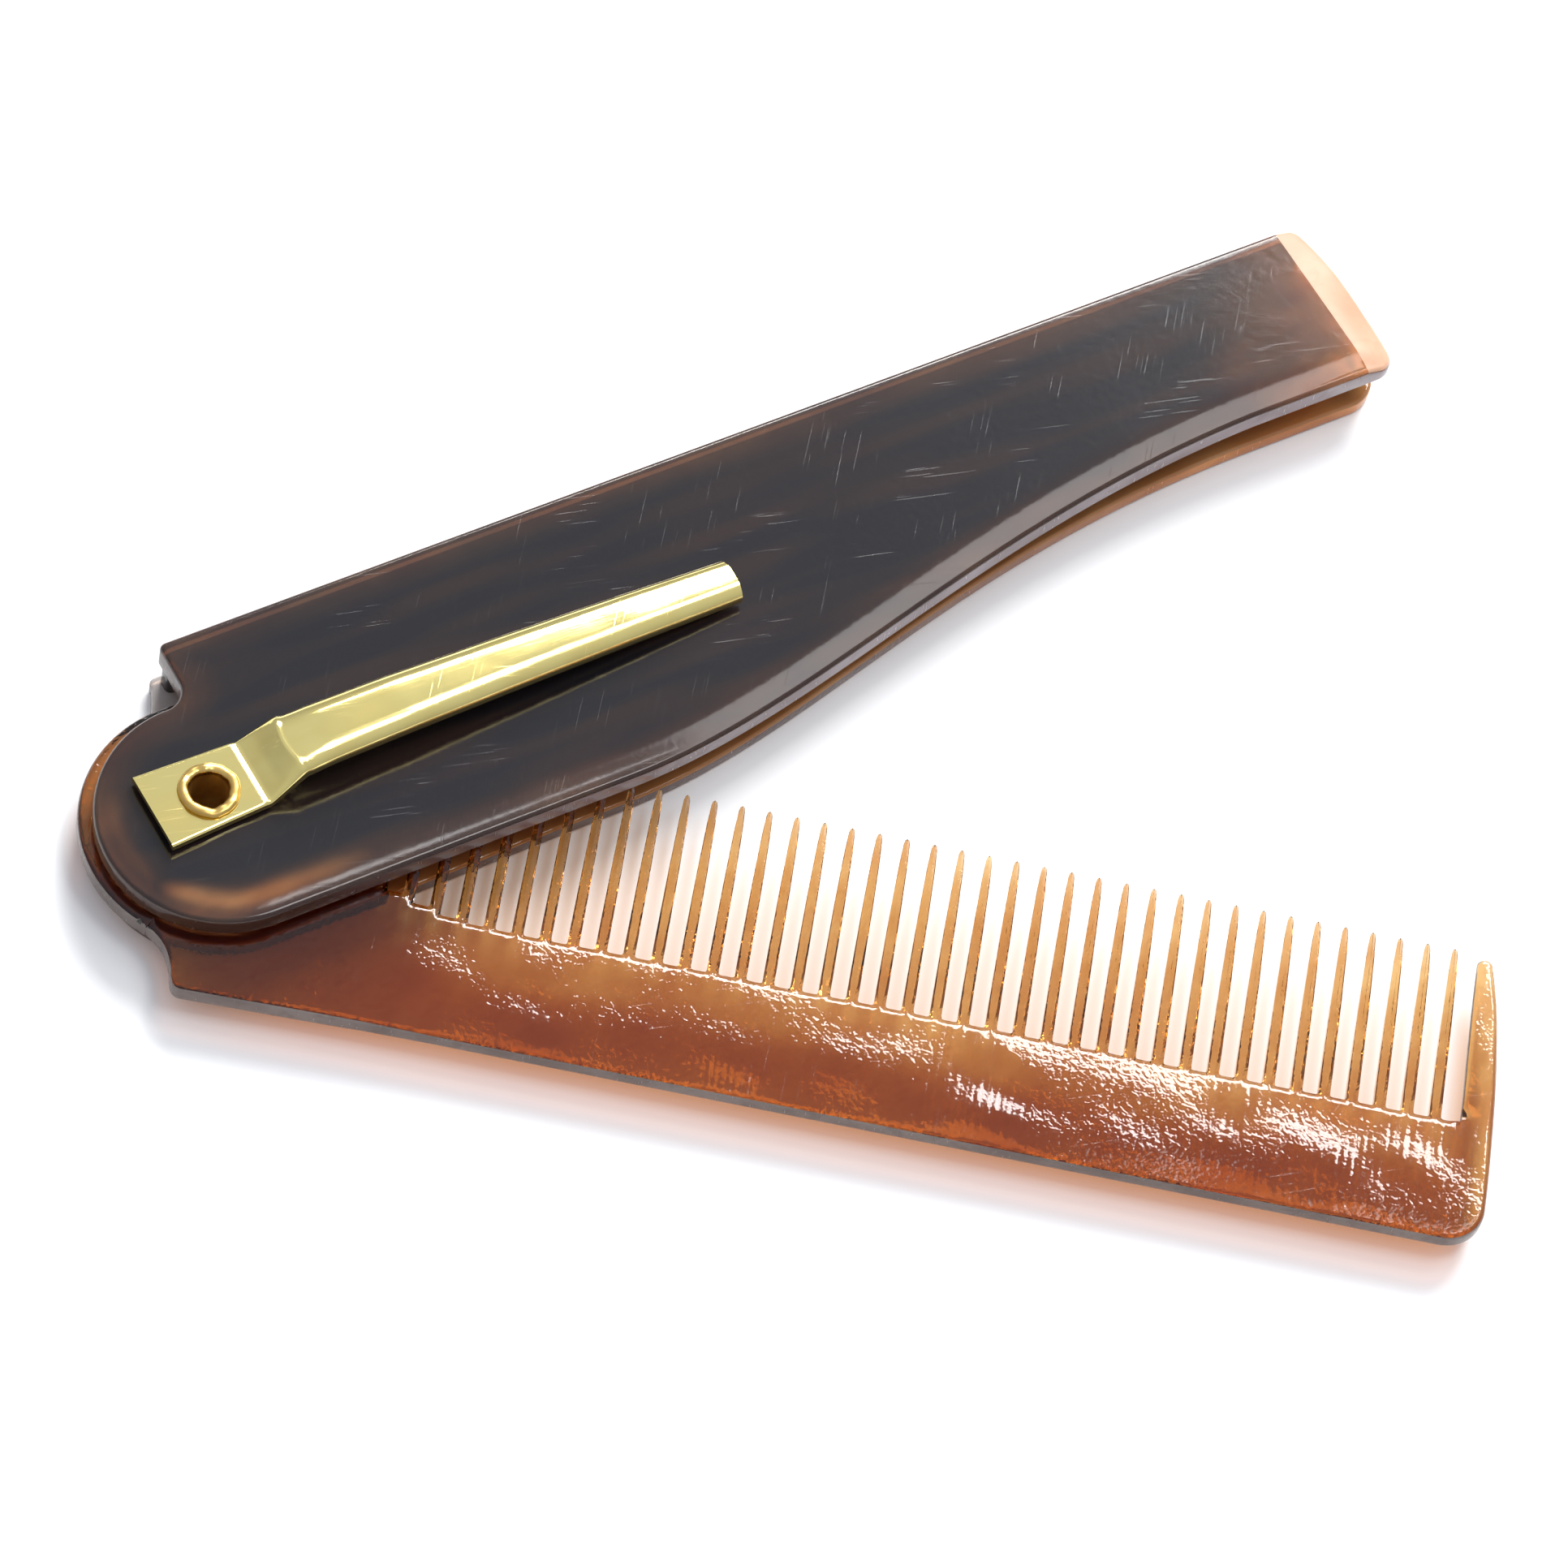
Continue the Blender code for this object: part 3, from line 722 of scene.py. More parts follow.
def back_height(points):
    """Half thickness of the blade without its teeth."""
    x, y = points[:, 0], points[:, 1]
    past_tang = ramp(x, LENS_START_X, LENS_FULL_X)
    lens = ROOT_DROP * ramp(y, LENS_TOP_Y, ROOT_Y) ** 1.25 + SPINE_DROP * ramp(y, LENS_TOP_Y, SPINE_Y) ** 2
    thinned = GUARD_THINNING * ramp(y, 1.0, 9.5) * (x > GUARD_INNER_X - 0.5)
    depth = distance_to(points, rimmed, closed=False)
    over = ramp(depth, BLADE_RIM_WIDTH, 0.0)
    rounding = BLADE_RIM_DROP * (1.0 - np.sqrt(1.0 - over ** 2)) * (1.0 - thinned)
    at_guard = (x > GUARD_INNER_X - 1.0) & (x < GUARD_INNER_X + 0.6) & (y > ROOT_Y - 1.0)
    rounding *= np.where(at_guard, ramp(y, ROOT_Y + 0.4, ROOT_Y + 1.8), 1.0)
    bevel = FOOT_BEVEL_DROP * ramp(distance_to_feet(points), FOOT_BEVEL_WIDTH, 0.0) ** 1.5
    bevel *= ramp(x, GUARD_INNER_X - 0.3, GUARD_INNER_X - 0.8)
    swell = WAVE_HEIGHT * (polishing_waves(x, y) * ramp(depth, 0.0, 1.5) - 1.0) * past_tang
    height = BLADE_HALF - lens * past_tang - thinned + swell - np.maximum(rounding, bevel)
    return np.where(y > gap_floor(x) + 1e-6, 0.0, height)


print("half thickness of the blade", round(BLADE_HALF, 3), "mm")

# %% [markdown]
# Each tooth is a low roof: it has a ridge down the middle of each face, which draws a bright line along
# it, and it sinks into the back at its root. The table of stations gives its width and both thicknesses,
# so that the ridge and the sides fade to the tip at their own pace, which one tapered box would not do.

# %% Height of the teeth
THINNEST = 0.06
ROOT_SINK = 0.42


def tooth_height(points):
    """Half thickness of the fine teeth: a roof with its ridge down the middle."""
    x, y = points[:, 0], points[:, 1]
    index = np.clip(np.round((x - FIRST_TOOTH_X) / TOOTH_PITCH), 0, TOOTH_COUNT - 1)
    off = np.abs(x - tooth_x(index))
    half = tooth_half(y)
    ridge, side = (np.interp(y, TOOTH_STATIONS[:, 0], TOOTH_STATIONS[:, k]) for k in (2, 3))
    sunk = ROOT_SINK * eased(ramp(y, ROOT_Y + 0.2, ROOT_Y - 1.2))
    height = ridge + (side - ridge) * np.clip(off / half, 0.0, 1.0) - sunk
    return np.where((off < half + 0.01) & (y > ROOT_Y - 1.2), height, 0.0)


def blade_height(points):
    """The larger of the back's and the teeth's half thickness."""
    return np.maximum(np.maximum(back_height(points), tooth_height(points)), THINNEST)


tooth_middle = np.array([(tooth_x(5), 3.8)])
print("a tooth is", round(2 * float(tooth_height(tooth_middle)[0]), 2), "mm thick at its middle")

# %% [markdown]
# The net needs its points where the shape turns: on rings inside the rim, on a fine net round the roots
# of the teeth, and on each tooth's ridge, which is kept as a row of edges. Elsewhere a coarse net is
# enough. Points that fall too near the outline or a ridge are left out, or slivers would show as creases.

# %% Net of the blade
HOLE_POINTS = 48
RING_INSETS = (0.018, 0.07, 0.15, 0.25, 0.35, 0.45)
RIDGE_ROWS = np.concatenate((np.linspace(ROOT_Y - 1.15, -3.7, 5), TOOTH_ROWS - 0.001))
RIDGE_MARGIN = 0.07


def clear_of_edges(cloud, from_outline, from_rim):
    """The points of a net that lie inside the blade, away from its outline, its rim and the ridges."""
    cloud = cloud[inside(cloud, blade_outline)]
    keep = distance_to(cloud, blade_outline) > from_outline
    keep &= distance_to(cloud, rimmed, closed=False) > from_rim
    off = np.abs((cloud[:, 0] - FIRST_TOOTH_X + 1.0) % TOOTH_PITCH - 1.0)
    in_teeth = (cloud[:, 0] > TANG_SIDE_X) & (cloud[:, 0] < GUARD_INNER_X) & (cloud[:, 1] > ROOT_Y - 1.3)
    return cloud[keep & ((off > RIDGE_MARGIN) | ~in_teeth)]


coarse = net((-10, -14.5), (94, 10.5), 0.7)
outside_teeth = (coarse[:, 0] < TANG_SIDE_X - 1) | (coarse[:, 0] > GUARD_INNER_X)
coarse = coarse[(coarse[:, 1] < ROOT_Y - 1.5) | outside_teeth]
fine = net((TANG_SIDE_X - 0.5, ROOT_Y - 1.3), (GUARD_INNER_X + 0.5, ROOT_Y + 0.6), 0.17)
risen = net((TANG_SIDE_X - 0.5, ROOT_Y + 0.6), (FIRST_TOOTH_X + 8.5, ROOT_Y + 2.5), 0.2)
inner = [clear_of_edges(*cloud) for cloud in ((coarse, 0.25, 0.75), (fine, 0.07, 0.55), (risen, 0.08, 0.55))]
normals = inward(rimmed)
for inset in RING_INSETS:
    ring = rimmed[2:-2] + normals[2:-2] * inset
    ring = ring[inside(ring, blade_outline)]
    inner.append(ring[distance_to(ring, blade_outline) > 0.015])
for tooth in range(TOOTH_COUNT):
    inner.append(np.column_stack((np.full(len(RIDGE_ROWS), tooth_x(tooth)), RIDGE_ROWS)))
inner = np.vstack(inner)
inner = inner[np.linalg.norm(inner, axis=1) > RIVET_HOLE + 0.3]
hole = arc((0, 0), RIVET_HOLE, 0, 360 - 360 / HOLE_POINTS, HOLE_POINTS)
plan = np.vstack((blade_outline, hole, inner))
print("points in the blade's plan", len(plan))

# %% [markdown]
# The plan is filled with triangles once, and the faces are made from it twice: lifted by the height for
# the upper face, and lowered by it for the lower one, turned round so that it looks outwards. Walls close
# the outline and the hole. The blade is built closed, in line with the handle, and turned open about the
# pivot at the end, since straight rows of teeth are easier to think about than slanting ones.

# %% Both faces of the blade
edge_count = len(blade_outline)
loops = [list(range(edge_count)), list(range(edge_count, edge_count + HOLE_POINTS))]
per_tooth = len(RIDGE_ROWS)
first_ridge = len(plan) - TOOTH_COUNT * per_tooth
ridge_starts = [first_ridge + tooth * per_tooth for tooth in range(TOOTH_COUNT)]
upper = fill(plan, loops, [list(range(start, start + per_tooth)) for start in ridge_starts])
heights = blade_height(plan)
middle = (blade_low + blade_high) / 2
points = raised(plan, middle + heights) + raised(plan, middle - heights)
count = len(plan)
faces = list(upper) + [tuple(i + count for i in reversed(face)) for face in upper]
for loop in loops:
    faces += band(loop, [i + count for i in loop])
blade = make_piece("blade", points, faces, "comb", "comb_blade",
                   turn=-open_angle, sharp=24.0)
centres = plan_of(np.array([f.center for f in blade.data.polygons]))
turn_back = np.array([[cos(open_angle), -sin(open_angle)], [sin(open_angle), cos(open_angle)]])
upright = np.array([abs(f.normal.z) < STEEP for f in blade.data.polygons])
sawn = upright & (distance_to(centres @ turn_back.T, rimmed, closed=False) < 0.3)
blade.data.polygons.foreach_set("material_index", sawn.astype(np.int32))
print("faces on the sawn rim:", int(sawn.sum()))

# %% [markdown]
# The pocket clip is stamped from brass sheet: a flat tang under the rivet, a ramp between two folds, and
# a long springy arm whose sides are turned down. A box bent by hand would lose the even wall, so the
# clip is a loft. Its section is a flat top with round shoulders and short sides, and a table says how
# wide, deep and high it is along the way. The dip before the ramp and the small rise after it are the
# creases that the folding tool leaves, and they draw the bright lines across the clip.

# %% Sections of the clip
CLIP_SHEET = 0.42
CLIP_SKEW = radians(1.3)
CLIP_SHIFT = 0.2
SHOULDER_REACH = 1.5
# distance from the rivet, width, depth, height of the top above the plate, radius of the shoulders
CLIP_STATIONS = np.array((
    (-4.35, 6.30, 0.62, 0.90, 0.20),
    (3.10, 5.68, 0.62, 0.90, 0.22),
    (3.50, 5.64, 0.62, 0.82, 0.24),
    (3.66, 5.60, 0.62, 0.84, 0.26),
    (6.20, 5.18, 1.08, 2.92, 0.62),
    (6.50, 5.12, 1.13, 3.15, 0.80),
    (6.90, 5.06, 1.16, 3.11, 0.92),
    (7.60, 5.02, 1.19, 3.20, 1.00),
    (8.60, 4.98, 1.21, 3.31, 1.05),
    (15.0, 4.75, 1.25, 3.22, 1.00),
    (25.0, 4.30, 1.22, 2.76, 1.00),
    (34.0, 3.90, 1.16, 2.20, 0.95),
    (39.5, 3.65, 1.12, 1.76, 0.90),
    (42.4, 3.50, 1.10, 1.54, 0.85),
))
FOLD_SOFTNESS = 0.09


def clip_station(stop):
    """The table's values at a distance, averaged over a short stretch so that the folds are soft."""
    near = np.linspace(stop - FOLD_SOFTNESS, stop + FOLD_SOFTNESS, 9)
    return [np.interp(near, CLIP_STATIONS[:, 0], CLIP_STATIONS[:, k]).mean() for k in range(1, 5)]


def clip_half_section(width, depth, shoulder, sheet):
    """One side of the arch from the foot to the middle, as (across, height above the foot)."""
    half, radius = width / 2 - sheet, max(shoulder - sheet, 0.04)
    reach = min(radius * SHOULDER_REACH, half * 0.7)
    top = depth - sheet
    foot = [(half, 0.0), (half, (top - radius) * 0.5)]
    turned = [(half - reach + reach * cos(a), top - radius + radius * sin(a))
              for a in np.linspace(0, pi / 2, 12)]
    flat = [((half - reach) * share, top) for share in (0.75, 0.5, 0.25)]
    return foot + turned + flat


def clip_ring(distance, width, depth, top, shoulder):
    """One closed section of the clip, outside then inside."""
    ring = []
    for sheet in (0.0, CLIP_SHEET):
        side = clip_half_section(width, depth, shoulder, sheet)
        run = side + [(0.0, depth - sheet)] + [(-a, h) for a, h in reversed(side)]
        ring.append(run if sheet == 0.0 else run[::-1])
    return [(distance, a, top_face + top - depth + h) for a, h in ring[0] + ring[1]]


print("the clip is", CLIP_STATIONS[-1, 0] - CLIP_STATIONS[0, 0], "mm long")

# %% [markdown]
# The sections are set along the clip, close together at the folds and wide apart where it runs straight.
# The middle of each section is pushed a little back at the upper fold and forward at the tip, because
# sheet that is bent across an arch bows there. Quads between the sections and two end caps close it.

# %% Loft of the clip
CLIP_STOPS = np.concatenate((
    np.linspace(-4.35, 2.7, 13), np.linspace(2.95, 3.95, 15), np.linspace(4.4, 5.9, 6),
    np.linspace(6.0, 7.6, 17), np.linspace(8.1, 40.5, 44), np.linspace(41.0, 42.4, 7)))
TIP_BULGE = 0.16
ARM_CROWN = 0.10
# how far the middle of a section lags behind its sides, which bows the upper fold
BOW_STOPS, BOW = (4.6, 6.6, 9.0, 15.0), (0.0, 0.75, 0.45, 0.0)
points, rows = [], []
for stop in CLIP_STOPS:
    width, depth, top, shoulder = clip_station(stop)
    forward = TIP_BULGE * ramp(stop, 38.0, 42.4) - np.interp(stop, BOW_STOPS, BOW)
    row = []
    for x, y, z in clip_ring(stop, width, depth, top, shoulder):
        crown = 1.0 - (2 * y / width) ** 2
        turned = Matrix.Rotation(CLIP_SKEW, 2) @ Vector((x + forward * crown, y + CLIP_SHIFT))
        row.append((turned.x, turned.y, z + ARM_CROWN * ramp(stop, 6.0, 10.0) * crown))
    rows.append(add_row(points, row))
faces = walls(rows)
half_count = len(rows[0]) // 2
for row in (rows[0], rows[-1]):
    for i in range(half_count - 1):
        faces.append((row[i], row[i + 1], row[2 * half_count - 2 - i], row[2 * half_count - 1 - i]))
clip = make_piece("clip", points, faces, "handle", "pocket_clip", sharp=38.0)

# %% [markdown]
# The tang is punched for the rivet. A Boolean with a plain round cutter is the quickest way to a clean
# hole in finished sheet. Its result is applied at once and the cutter is deleted, so nothing that the
# Boolean needs is left in the scene.

# %% Hole in the clip
CLIP_HOLE = 1.72


def drill(piece, radius):
    """Drills a piece through on the pivot's axis."""
    tool = bpy.data.meshes.new("drill")
    work = bmesh.new()
    bmesh.ops.create_cone(work, cap_ends=True, segments=64, radius1=radius * MM, radius2=radius * MM,
                          depth=0.03)
    bmesh.ops.translate(work, verts=work.verts, vec=pivot)
    work.to_mesh(tool)
    work.free()
    cutter = bpy.data.objects.new("drill", tool)
    bpy.context.scene.collection.objects.link(cutter)
    step = piece.modifiers.new("drill", "BOOLEAN")
    step.object, step.operation, step.solver = cutter, "DIFFERENCE", "EXACT"
    bpy.context.view_layer.update()
    drilled = bpy.data.meshes.new_from_object(piece.evaluated_get(bpy.context.evaluated_depsgraph_get()))
    piece.modifiers.clear()
    piece.data = drilled
    piece.data.set_sharp_from_angle(angle=radians(38.0))
    bpy.data.objects.remove(cutter)
    print(piece.name, "drilled:", len(drilled.polygons), "faces")


drill(clip, CLIP_HOLE)

# %% [markdown]
# The hollow rivet is a short brass tube whose ends are rolled over. It is turned from a profile, as on a
# lathe. The roll of a real one is never even: the tool leaves lobes and a small burr, so the rim's
# radius and height vary a little round the circle. A torus on a tube would look machine made.

# %% Profile of the rivet
RIVET_STEPS = 96
BORE = 1.3
SHANK = 1.65
ROLL_CENTRE = 1.84
ROLL_WIDTH, ROLL_HEIGHT = 0.38, 0.26
rivet_top = top_face + 0.90
roll = [(ROLL_CENTRE + ROLL_WIDTH * cos(a), rivet_top + 0.20 + ROLL_HEIGHT * sin(a))
        for a in np.linspace(radians(-60), radians(190), 15)]
inner_wall = [(BORE + 0.12, rivet_top - 0.1), (BORE, rivet_top - 0.7), (BORE, 3.0)]
flange = [(BORE, 0.55), (BORE + 0.08, 0.3), (BORE + 0.3, 0.14), (1.95, 0.1), (2.3, 0.14), (2.48, 0.3),
          (2.46, 0.42), (2.3, 0.52), (SHANK, 0.58)]
profile = [(SHANK, rivet_top - 0.05)] + roll + inner_wall + flange
print("profile points", len(profile))

# %% [markdown]
# Turning the profile is a loop round the axis. Only the points of the rolled rim are moved, by a few
# sines of the angle: outwards and inwards for the tool's lobes, up and down for the burr. The faces deep
# in the bore get a second material, since no cloth ever polishes them.

# %% Rivet
LOBE_SIZE = 0.085
BURR_SIZE = 0.045
points, rows = [], []
for r, z in profile:
    rolled = 1.0 if z > rivet_top + 0.1 else 0.0
    row = []
    for step in range(RIVET_STEPS):
        angle = 2 * pi * step / RIVET_STEPS
        lobes = sin(3 * angle + 0.7) * 0.45 + sin(7 * angle + 2.1) * 0.3 + sin(13 * angle) * 0.16
        burr = sin(5 * angle + 1.3) + 0.5 * sin(11 * angle)
        radius = r + LOBE_SIZE * lobes * rolled
        row.append((radius * cos(angle), radius * sin(angle), z + BURR_SIZE * rolled * burr))
    rows.append(add_row(points, row))
faces = walls(rows + rows[:1])
rivet = make_piece("rivet", points, faces, "handle", "pivot_rivet", sharp=60.0)
deep = pivot.z + (rivet_top - 0.05) * MM
for face in rivet.data.polygons:
    spot = face.center - pivot
    if spot.z < deep and Vector((spot.x, spot.y)).length < 1.5 * MM:
        face.material_index = 1
print("faces inside the bore:", sum(face.material_index for face in rivet.data.polygons))

# %% [markdown]
# Now the finishes. A material is a tree of nodes, and a few short helpers make one readable in code: they
# add a node, link what is a socket and set what is a value. The coordinates are the object's own, turned
# into millimetres, so that every pattern keeps its real size and moves with its piece.

# %% Node helpers
def put(tree, socket, value):
    """Links a socket to another one, or sets its value."""
    if isinstance(value, bpy.types.NodeSocket):
        tree.links.new(value, socket)
    else:
        socket.default_value = value


def add(tree, kind, **settings):
    """A node with its settings, and inputs given as in_ plus a number or a name."""
    node = tree.nodes.new(kind)
    for key, value in settings.items():
        if key.startswith("in_"):
            name = key[3:].replace("_", " ")
            put(tree, node.inputs[int(name)] if name.isdigit() else node.inputs[name], value)
        else:
            setattr(node, key, value)
    return node


def in_millimetres(tree, stretch=(1.0, 1.0, 1.0), turn=0.0):
    """The object's own coordinates in millimetres, turned by an angle and then stretched."""
    coordinates = add(tree, "ShaderNodeTexCoord").outputs["Object"]
    mapping = add(tree, "ShaderNodeMapping", vector_type="TEXTURE", in_Vector=coordinates)
    mapping.inputs["Rotation"].default_value = (0.0, 0.0, -turn)
    mapping.inputs["Scale"].default_value = tuple(MM / s for s in stretch)
    return mapping.outputs["Vector"]


def noise(tree, vector, scale, detail, **settings):
    """Soft noise from zero to one."""
    node = add(tree, "ShaderNodeTexNoise", in_Vector=vector, in_Scale=scale, in_Detail=detail, **settings)
    return node.outputs["Fac"]


def maths(tree, operation, a, b=0.0, clamp=False):
    """One sum with two inputs."""
    return add(tree, "ShaderNodeMath", operation=operation, use_clamp=clamp, in_0=a, in_1=b).outputs[0]


def multiply_add(tree, value, factor, offset):
    """value times factor, plus offset."""
    node = add(tree, "ShaderNodeMath", operation="MULTIPLY_ADD", in_0=value, in_1=factor, in_2=offset)
    return node.outputs[0]


def times(tree, a, b):
    """a times b."""
    return maths(tree, "MULTIPLY", a, b)


def remap(tree, value, low, high, to_low=0.0, to_high=1.0):
    """Stretches the range low to high onto another, and stays level beyond it."""
    node = add(tree, "ShaderNodeMapRange", in_Value=value, in_From_Min=low, in_From_Max=high,
               in_To_Min=to_low, in_To_Max=to_high)
    return node.outputs["Result"]


def mix_colour(tree, factor, a, b):
    """Colour a where the factor is zero and colour b where it is one."""
    node = add(tree, "ShaderNodeMix", data_type="RGBA")
    for socket, value in ((node.inputs["Factor"], factor), (node.inputs[6], a), (node.inputs[7], b)):
        put(tree, socket, value)
    return node.outputs[2]


print("node helpers ready")

# %% [markdown]
# Several finishes share an effect: cloudy colour inside the plastic, hairline scratches from a pocket,
# the slow waves of hand polishing, and a fine speckle. Each is a node group, built once, with its sizes
# and strengths as named inputs. Copies of the nodes in every material would work as well, but a change
# would then have to be made in each of them.

# %% Helper for node groups
def new_group(name, inputs, outputs):
    """An empty shader node group with float sockets, with its node for the inputs and its way out."""
    group = bpy.data.node_groups.new(name, "ShaderNodeTree")
    for label, value in inputs:
        socket = group.interface.new_socket(label, in_out="INPUT", socket_type="NodeSocketFloat")
        socket.default_value = value
    for label in outputs:
        group.interface.new_socket(label, in_out="OUTPUT", socket_type="NodeSocketFloat")
    return group, add(group, "NodeGroupInput").outputs, add(group, "NodeGroupOutput").inputs


def place_group(tree, group, **values):
    """A group in a material, with values for its inputs."""
    node = add(tree, "ShaderNodeGroup", node_tree=group)
    for key, value in values.items():
        node.inputs[key.replace("_", " ")].default_value = value
    return node.outputs


print("group helpers ready")

# %% [markdown]
# Cloudiness in a plastic is patches some millimetres wide with small flecks among them. Two noises of
# different size give both, and a narrow range of each is stretched so that the patches have edges.

# %% Cloudy colour
clouds, entry, leave = new_group(
    "cloudy_plastic", (("Patch Size", 6.0), ("Fleck Size", 0.8)), ("Patches", "Flecks"))
vector = in_millimetres(clouds, (0.6, 1.0, 1.0))
patch = noise(clouds, vector, maths(clouds, "DIVIDE", 1.0, entry["Patch Size"]), 2.0, in_Roughness=0.55)
fleck = noise(clouds, vector, maths(clouds, "DIVIDE", 1.0, entry["Fleck Size"]), 1.0, in_Roughness=0.6)
put(clouds, leave["Patches"], remap(clouds, patch, 0.35, 0.65))
put(clouds, leave["Flecks"], remap(clouds, fleck, 0.52, 0.72))
print("cloudy colour has", len(clouds.nodes), "nodes")

# %% [markdown]
# A hairline scratch is the thin crest of a noise that has been pulled out lengthwise: only values in a
# narrow range count, and a second, slower noise breaks the lines up so that few are long. Two directions
# are laid over each other, as in a pocket.

# %% Hairline scratches
scratches, entry, leave = new_group("hairline_scratches", (("Amount", 0.5),), ("Scratches",))
patch = noise(scratches, in_millimetres(scratches), 0.16, 1.0)
lines = []
for turn, low, high in ((0.25, 0.52, 0.62), (-0.9, 0.48, 0.40)):
    thread = noise(scratches, in_millimetres(scratches, (0.16, 9.0, 1.0), turn), 1.0, 1.0)
    hair = remap(scratches, thread, 0.68, 0.73)
    lines.append(times(scratches, hair, remap(scratches, patch, low, high)))
total = maths(scratches, "MAXIMUM", lines[0], lines[1])
put(scratches, leave["Scratches"], times(scratches, total, entry["Amount"]))
print("scratches have", len(scratches.nodes), "nodes")

# %% [markdown]
# A buffed face is never flat: it has slow waves and a fine orange peel, and on the blade also a speckle
# in drifting patches, with faint strokes across it. They only tilt what the surface mirrors, so they are
# heights for a Bump node. As mesh they would take millions of triangles.

# %% Polishing waves and speckle
waves, entry, leave = new_group(
    "polish_waves", (("Wave Size", 6.0), ("Wave Height", 1.0), ("Peel Height", 0.1)), ("Height",))
vector = in_millimetres(waves)
wave = noise(waves, vector, maths(waves, "DIVIDE", 1.0, entry["Wave Size"]), 0.0)
peel = noise(waves, vector, 1.6, 1.0)
wave = times(waves, wave, entry["Wave Height"])
peel = times(waves, peel, entry["Peel Height"])
put(waves, leave["Height"], maths(waves, "ADD", wave, peel))

speckles, entry, leave = new_group(
    "fine_speckle", (("Speckle Height", 0.1), ("Stroke Height", 0.05)), ("Height",))
vector = in_millimetres(speckles)
grain = noise(speckles, vector, 2.6, 1.0)
patch = noise(speckles, vector, 0.14, 0.0)
strokes = noise(speckles, in_millimetres(speckles, (2.6, 0.25, 1.0), open_angle), 1.0, 0.0)
grain = times(speckles, grain, remap(speckles, patch, 0.40, 0.58, 0.25, 1.0))
strokes = times(speckles, strokes, remap(speckles, patch, 0.55, 0.40, 0.0, 1.0))
grain = times(speckles, grain, entry["Speckle Height"])
strokes = times(speckles, strokes, entry["Stroke Height"])
put(speckles, leave["Height"], maths(speckles, "ADD", grain, strokes))
print("groups", [g.name for g in bpy.data.node_groups])

# %% [markdown]
# Both plastics are clear stuff with colour all through it, so thin places glow orange and thick places
# go dark. Painting that on would only look right from one side. Instead the surface lets light through,
# a Volume Absorption with plain constants gives the depth of colour, and the base colour adds the cloudy
# tint; on the handle it also carries some painted light, set out below. Scratches make the surface rougher
# and a little lower. Waves and speckle go to a Bump node.

# %% Helpers for clear plastic
def new_material(name):
    """A material with its node tree and its shader."""
    made = bpy.data.materials.new(name)
    made.use_nodes = True
    return made, made.node_tree, made.node_tree.nodes["Principled BSDF"]


def clouded_tint(tree, light, dark):
    """Base colour that drifts between two tints, with darker flecks."""
    cloud = place_group(tree, clouds, Patch_Size=5.0, Fleck_Size=0.9)
    tint = mix_colour(tree, cloud["Patches"], light, dark)
    return mix_colour(tree, times(tree, cloud["Flecks"], 0.55), tint, dark)


def finish_plastic(made, tint, absorbed, density, rough, wave, scratch, speckle, clear=1.0):
    """Roughness, bump, clearness and absorption, the same way for each clear plastic."""
    tree = made.node_tree
    shader = tree.nodes["Principled BSDF"]
    marks = place_group(tree, scratches, Amount=scratch)["Scratches"]
    swell = place_group(tree, waves, Wave_Size=wave[0], Wave_Height=wave[1], Peel_Height=wave[2])["Height"]
    grain = place_group(tree, speckles, Speckle_Height=speckle[0], Stroke_Height=speckle[1])["Height"]
    height = maths(tree, "SUBTRACT", maths(tree, "ADD", swell, grain), times(tree, marks, 0.05))
    bump = add(tree, "ShaderNodeBump", in_Height=height, in_Strength=1.0, in_Distance=0.0001)
    put(tree, shader.inputs["Base Color"], tint)
    put(tree, shader.inputs["Roughness"], multiply_add(tree, marks, 0.30, rough))
    put(tree, shader.inputs["Normal"], bump.outputs["Normal"])
    shader.inputs["Transmission Weight"].default_value = clear
    shader.inputs["IOR"].default_value = 1.49
    volume = add(tree, "ShaderNodeVolumeAbsorption", in_Color=absorbed, in_Density=density)
    put(tree, tree.nodes["Material Output"].inputs["Volume"], volume.outputs["Volume"])


print("plastic helpers ready")

# %% [markdown]
# Light that goes through the amber blade colours the table in the gaps and along the spine. A path
# tracer finds such light only as caustics, which are slow and noisy, and the renderer leaves them out,
# which would give a hard dark shadow. So for shadow rays and soft rays, which a Light Path node tells
# apart, the surface is a plain Transparent shader with the colour of thin amber. Where the camera looks,
# or a mirror ray goes, it is still the clear plastic.

# %% Amber of the blade
AMBER_ABSORBED, AMBER_DENSITY = (0.76, 0.54, 0.06, 1.0), 1560.0
THIN_AMBER = (0.84, 0.70, 0.60, 1.0)


def let_light_through(made, tint):
    """Soft and shadow rays pass straight through, so the comb lets coloured light down to the table."""
    tree = made.node_tree
    ray = add(tree, "ShaderNodeLightPath")
    passing = maths(tree, "MAXIMUM", ray.outputs["Is Shadow Ray"], ray.outputs["Is Diffuse Ray"])
    straight = add(tree, "ShaderNodeBsdfTransparent", in_Color=tint)
    mixed = add(tree, "ShaderNodeMixShader", in_Fac=passing)
    put(tree, mixed.inputs[1], tree.nodes["Principled BSDF"].outputs["BSDF"])
    put(tree, mixed.inputs[2], straight.outputs["BSDF"])
    put(tree, tree.nodes["Material Output"].inputs["Surface"], mixed.outputs["Shader"])


amber, tree, shader = new_material("amber_plastic")
tint = clouded_tint(tree, (0.98, 0.84, 0.66, 1.0), (0.78, 0.52, 0.34, 1.0))
finish_plastic(amber, tint, AMBER_ABSORBED, AMBER_DENSITY, rough=0.07, wave=(6.5, 2.6, 0.12), scratch=0.4,
               speckle=(0.46, 0.30))
let_light_through(amber, THIN_AMBER)
print(amber.name, len(tree.nodes), "nodes")
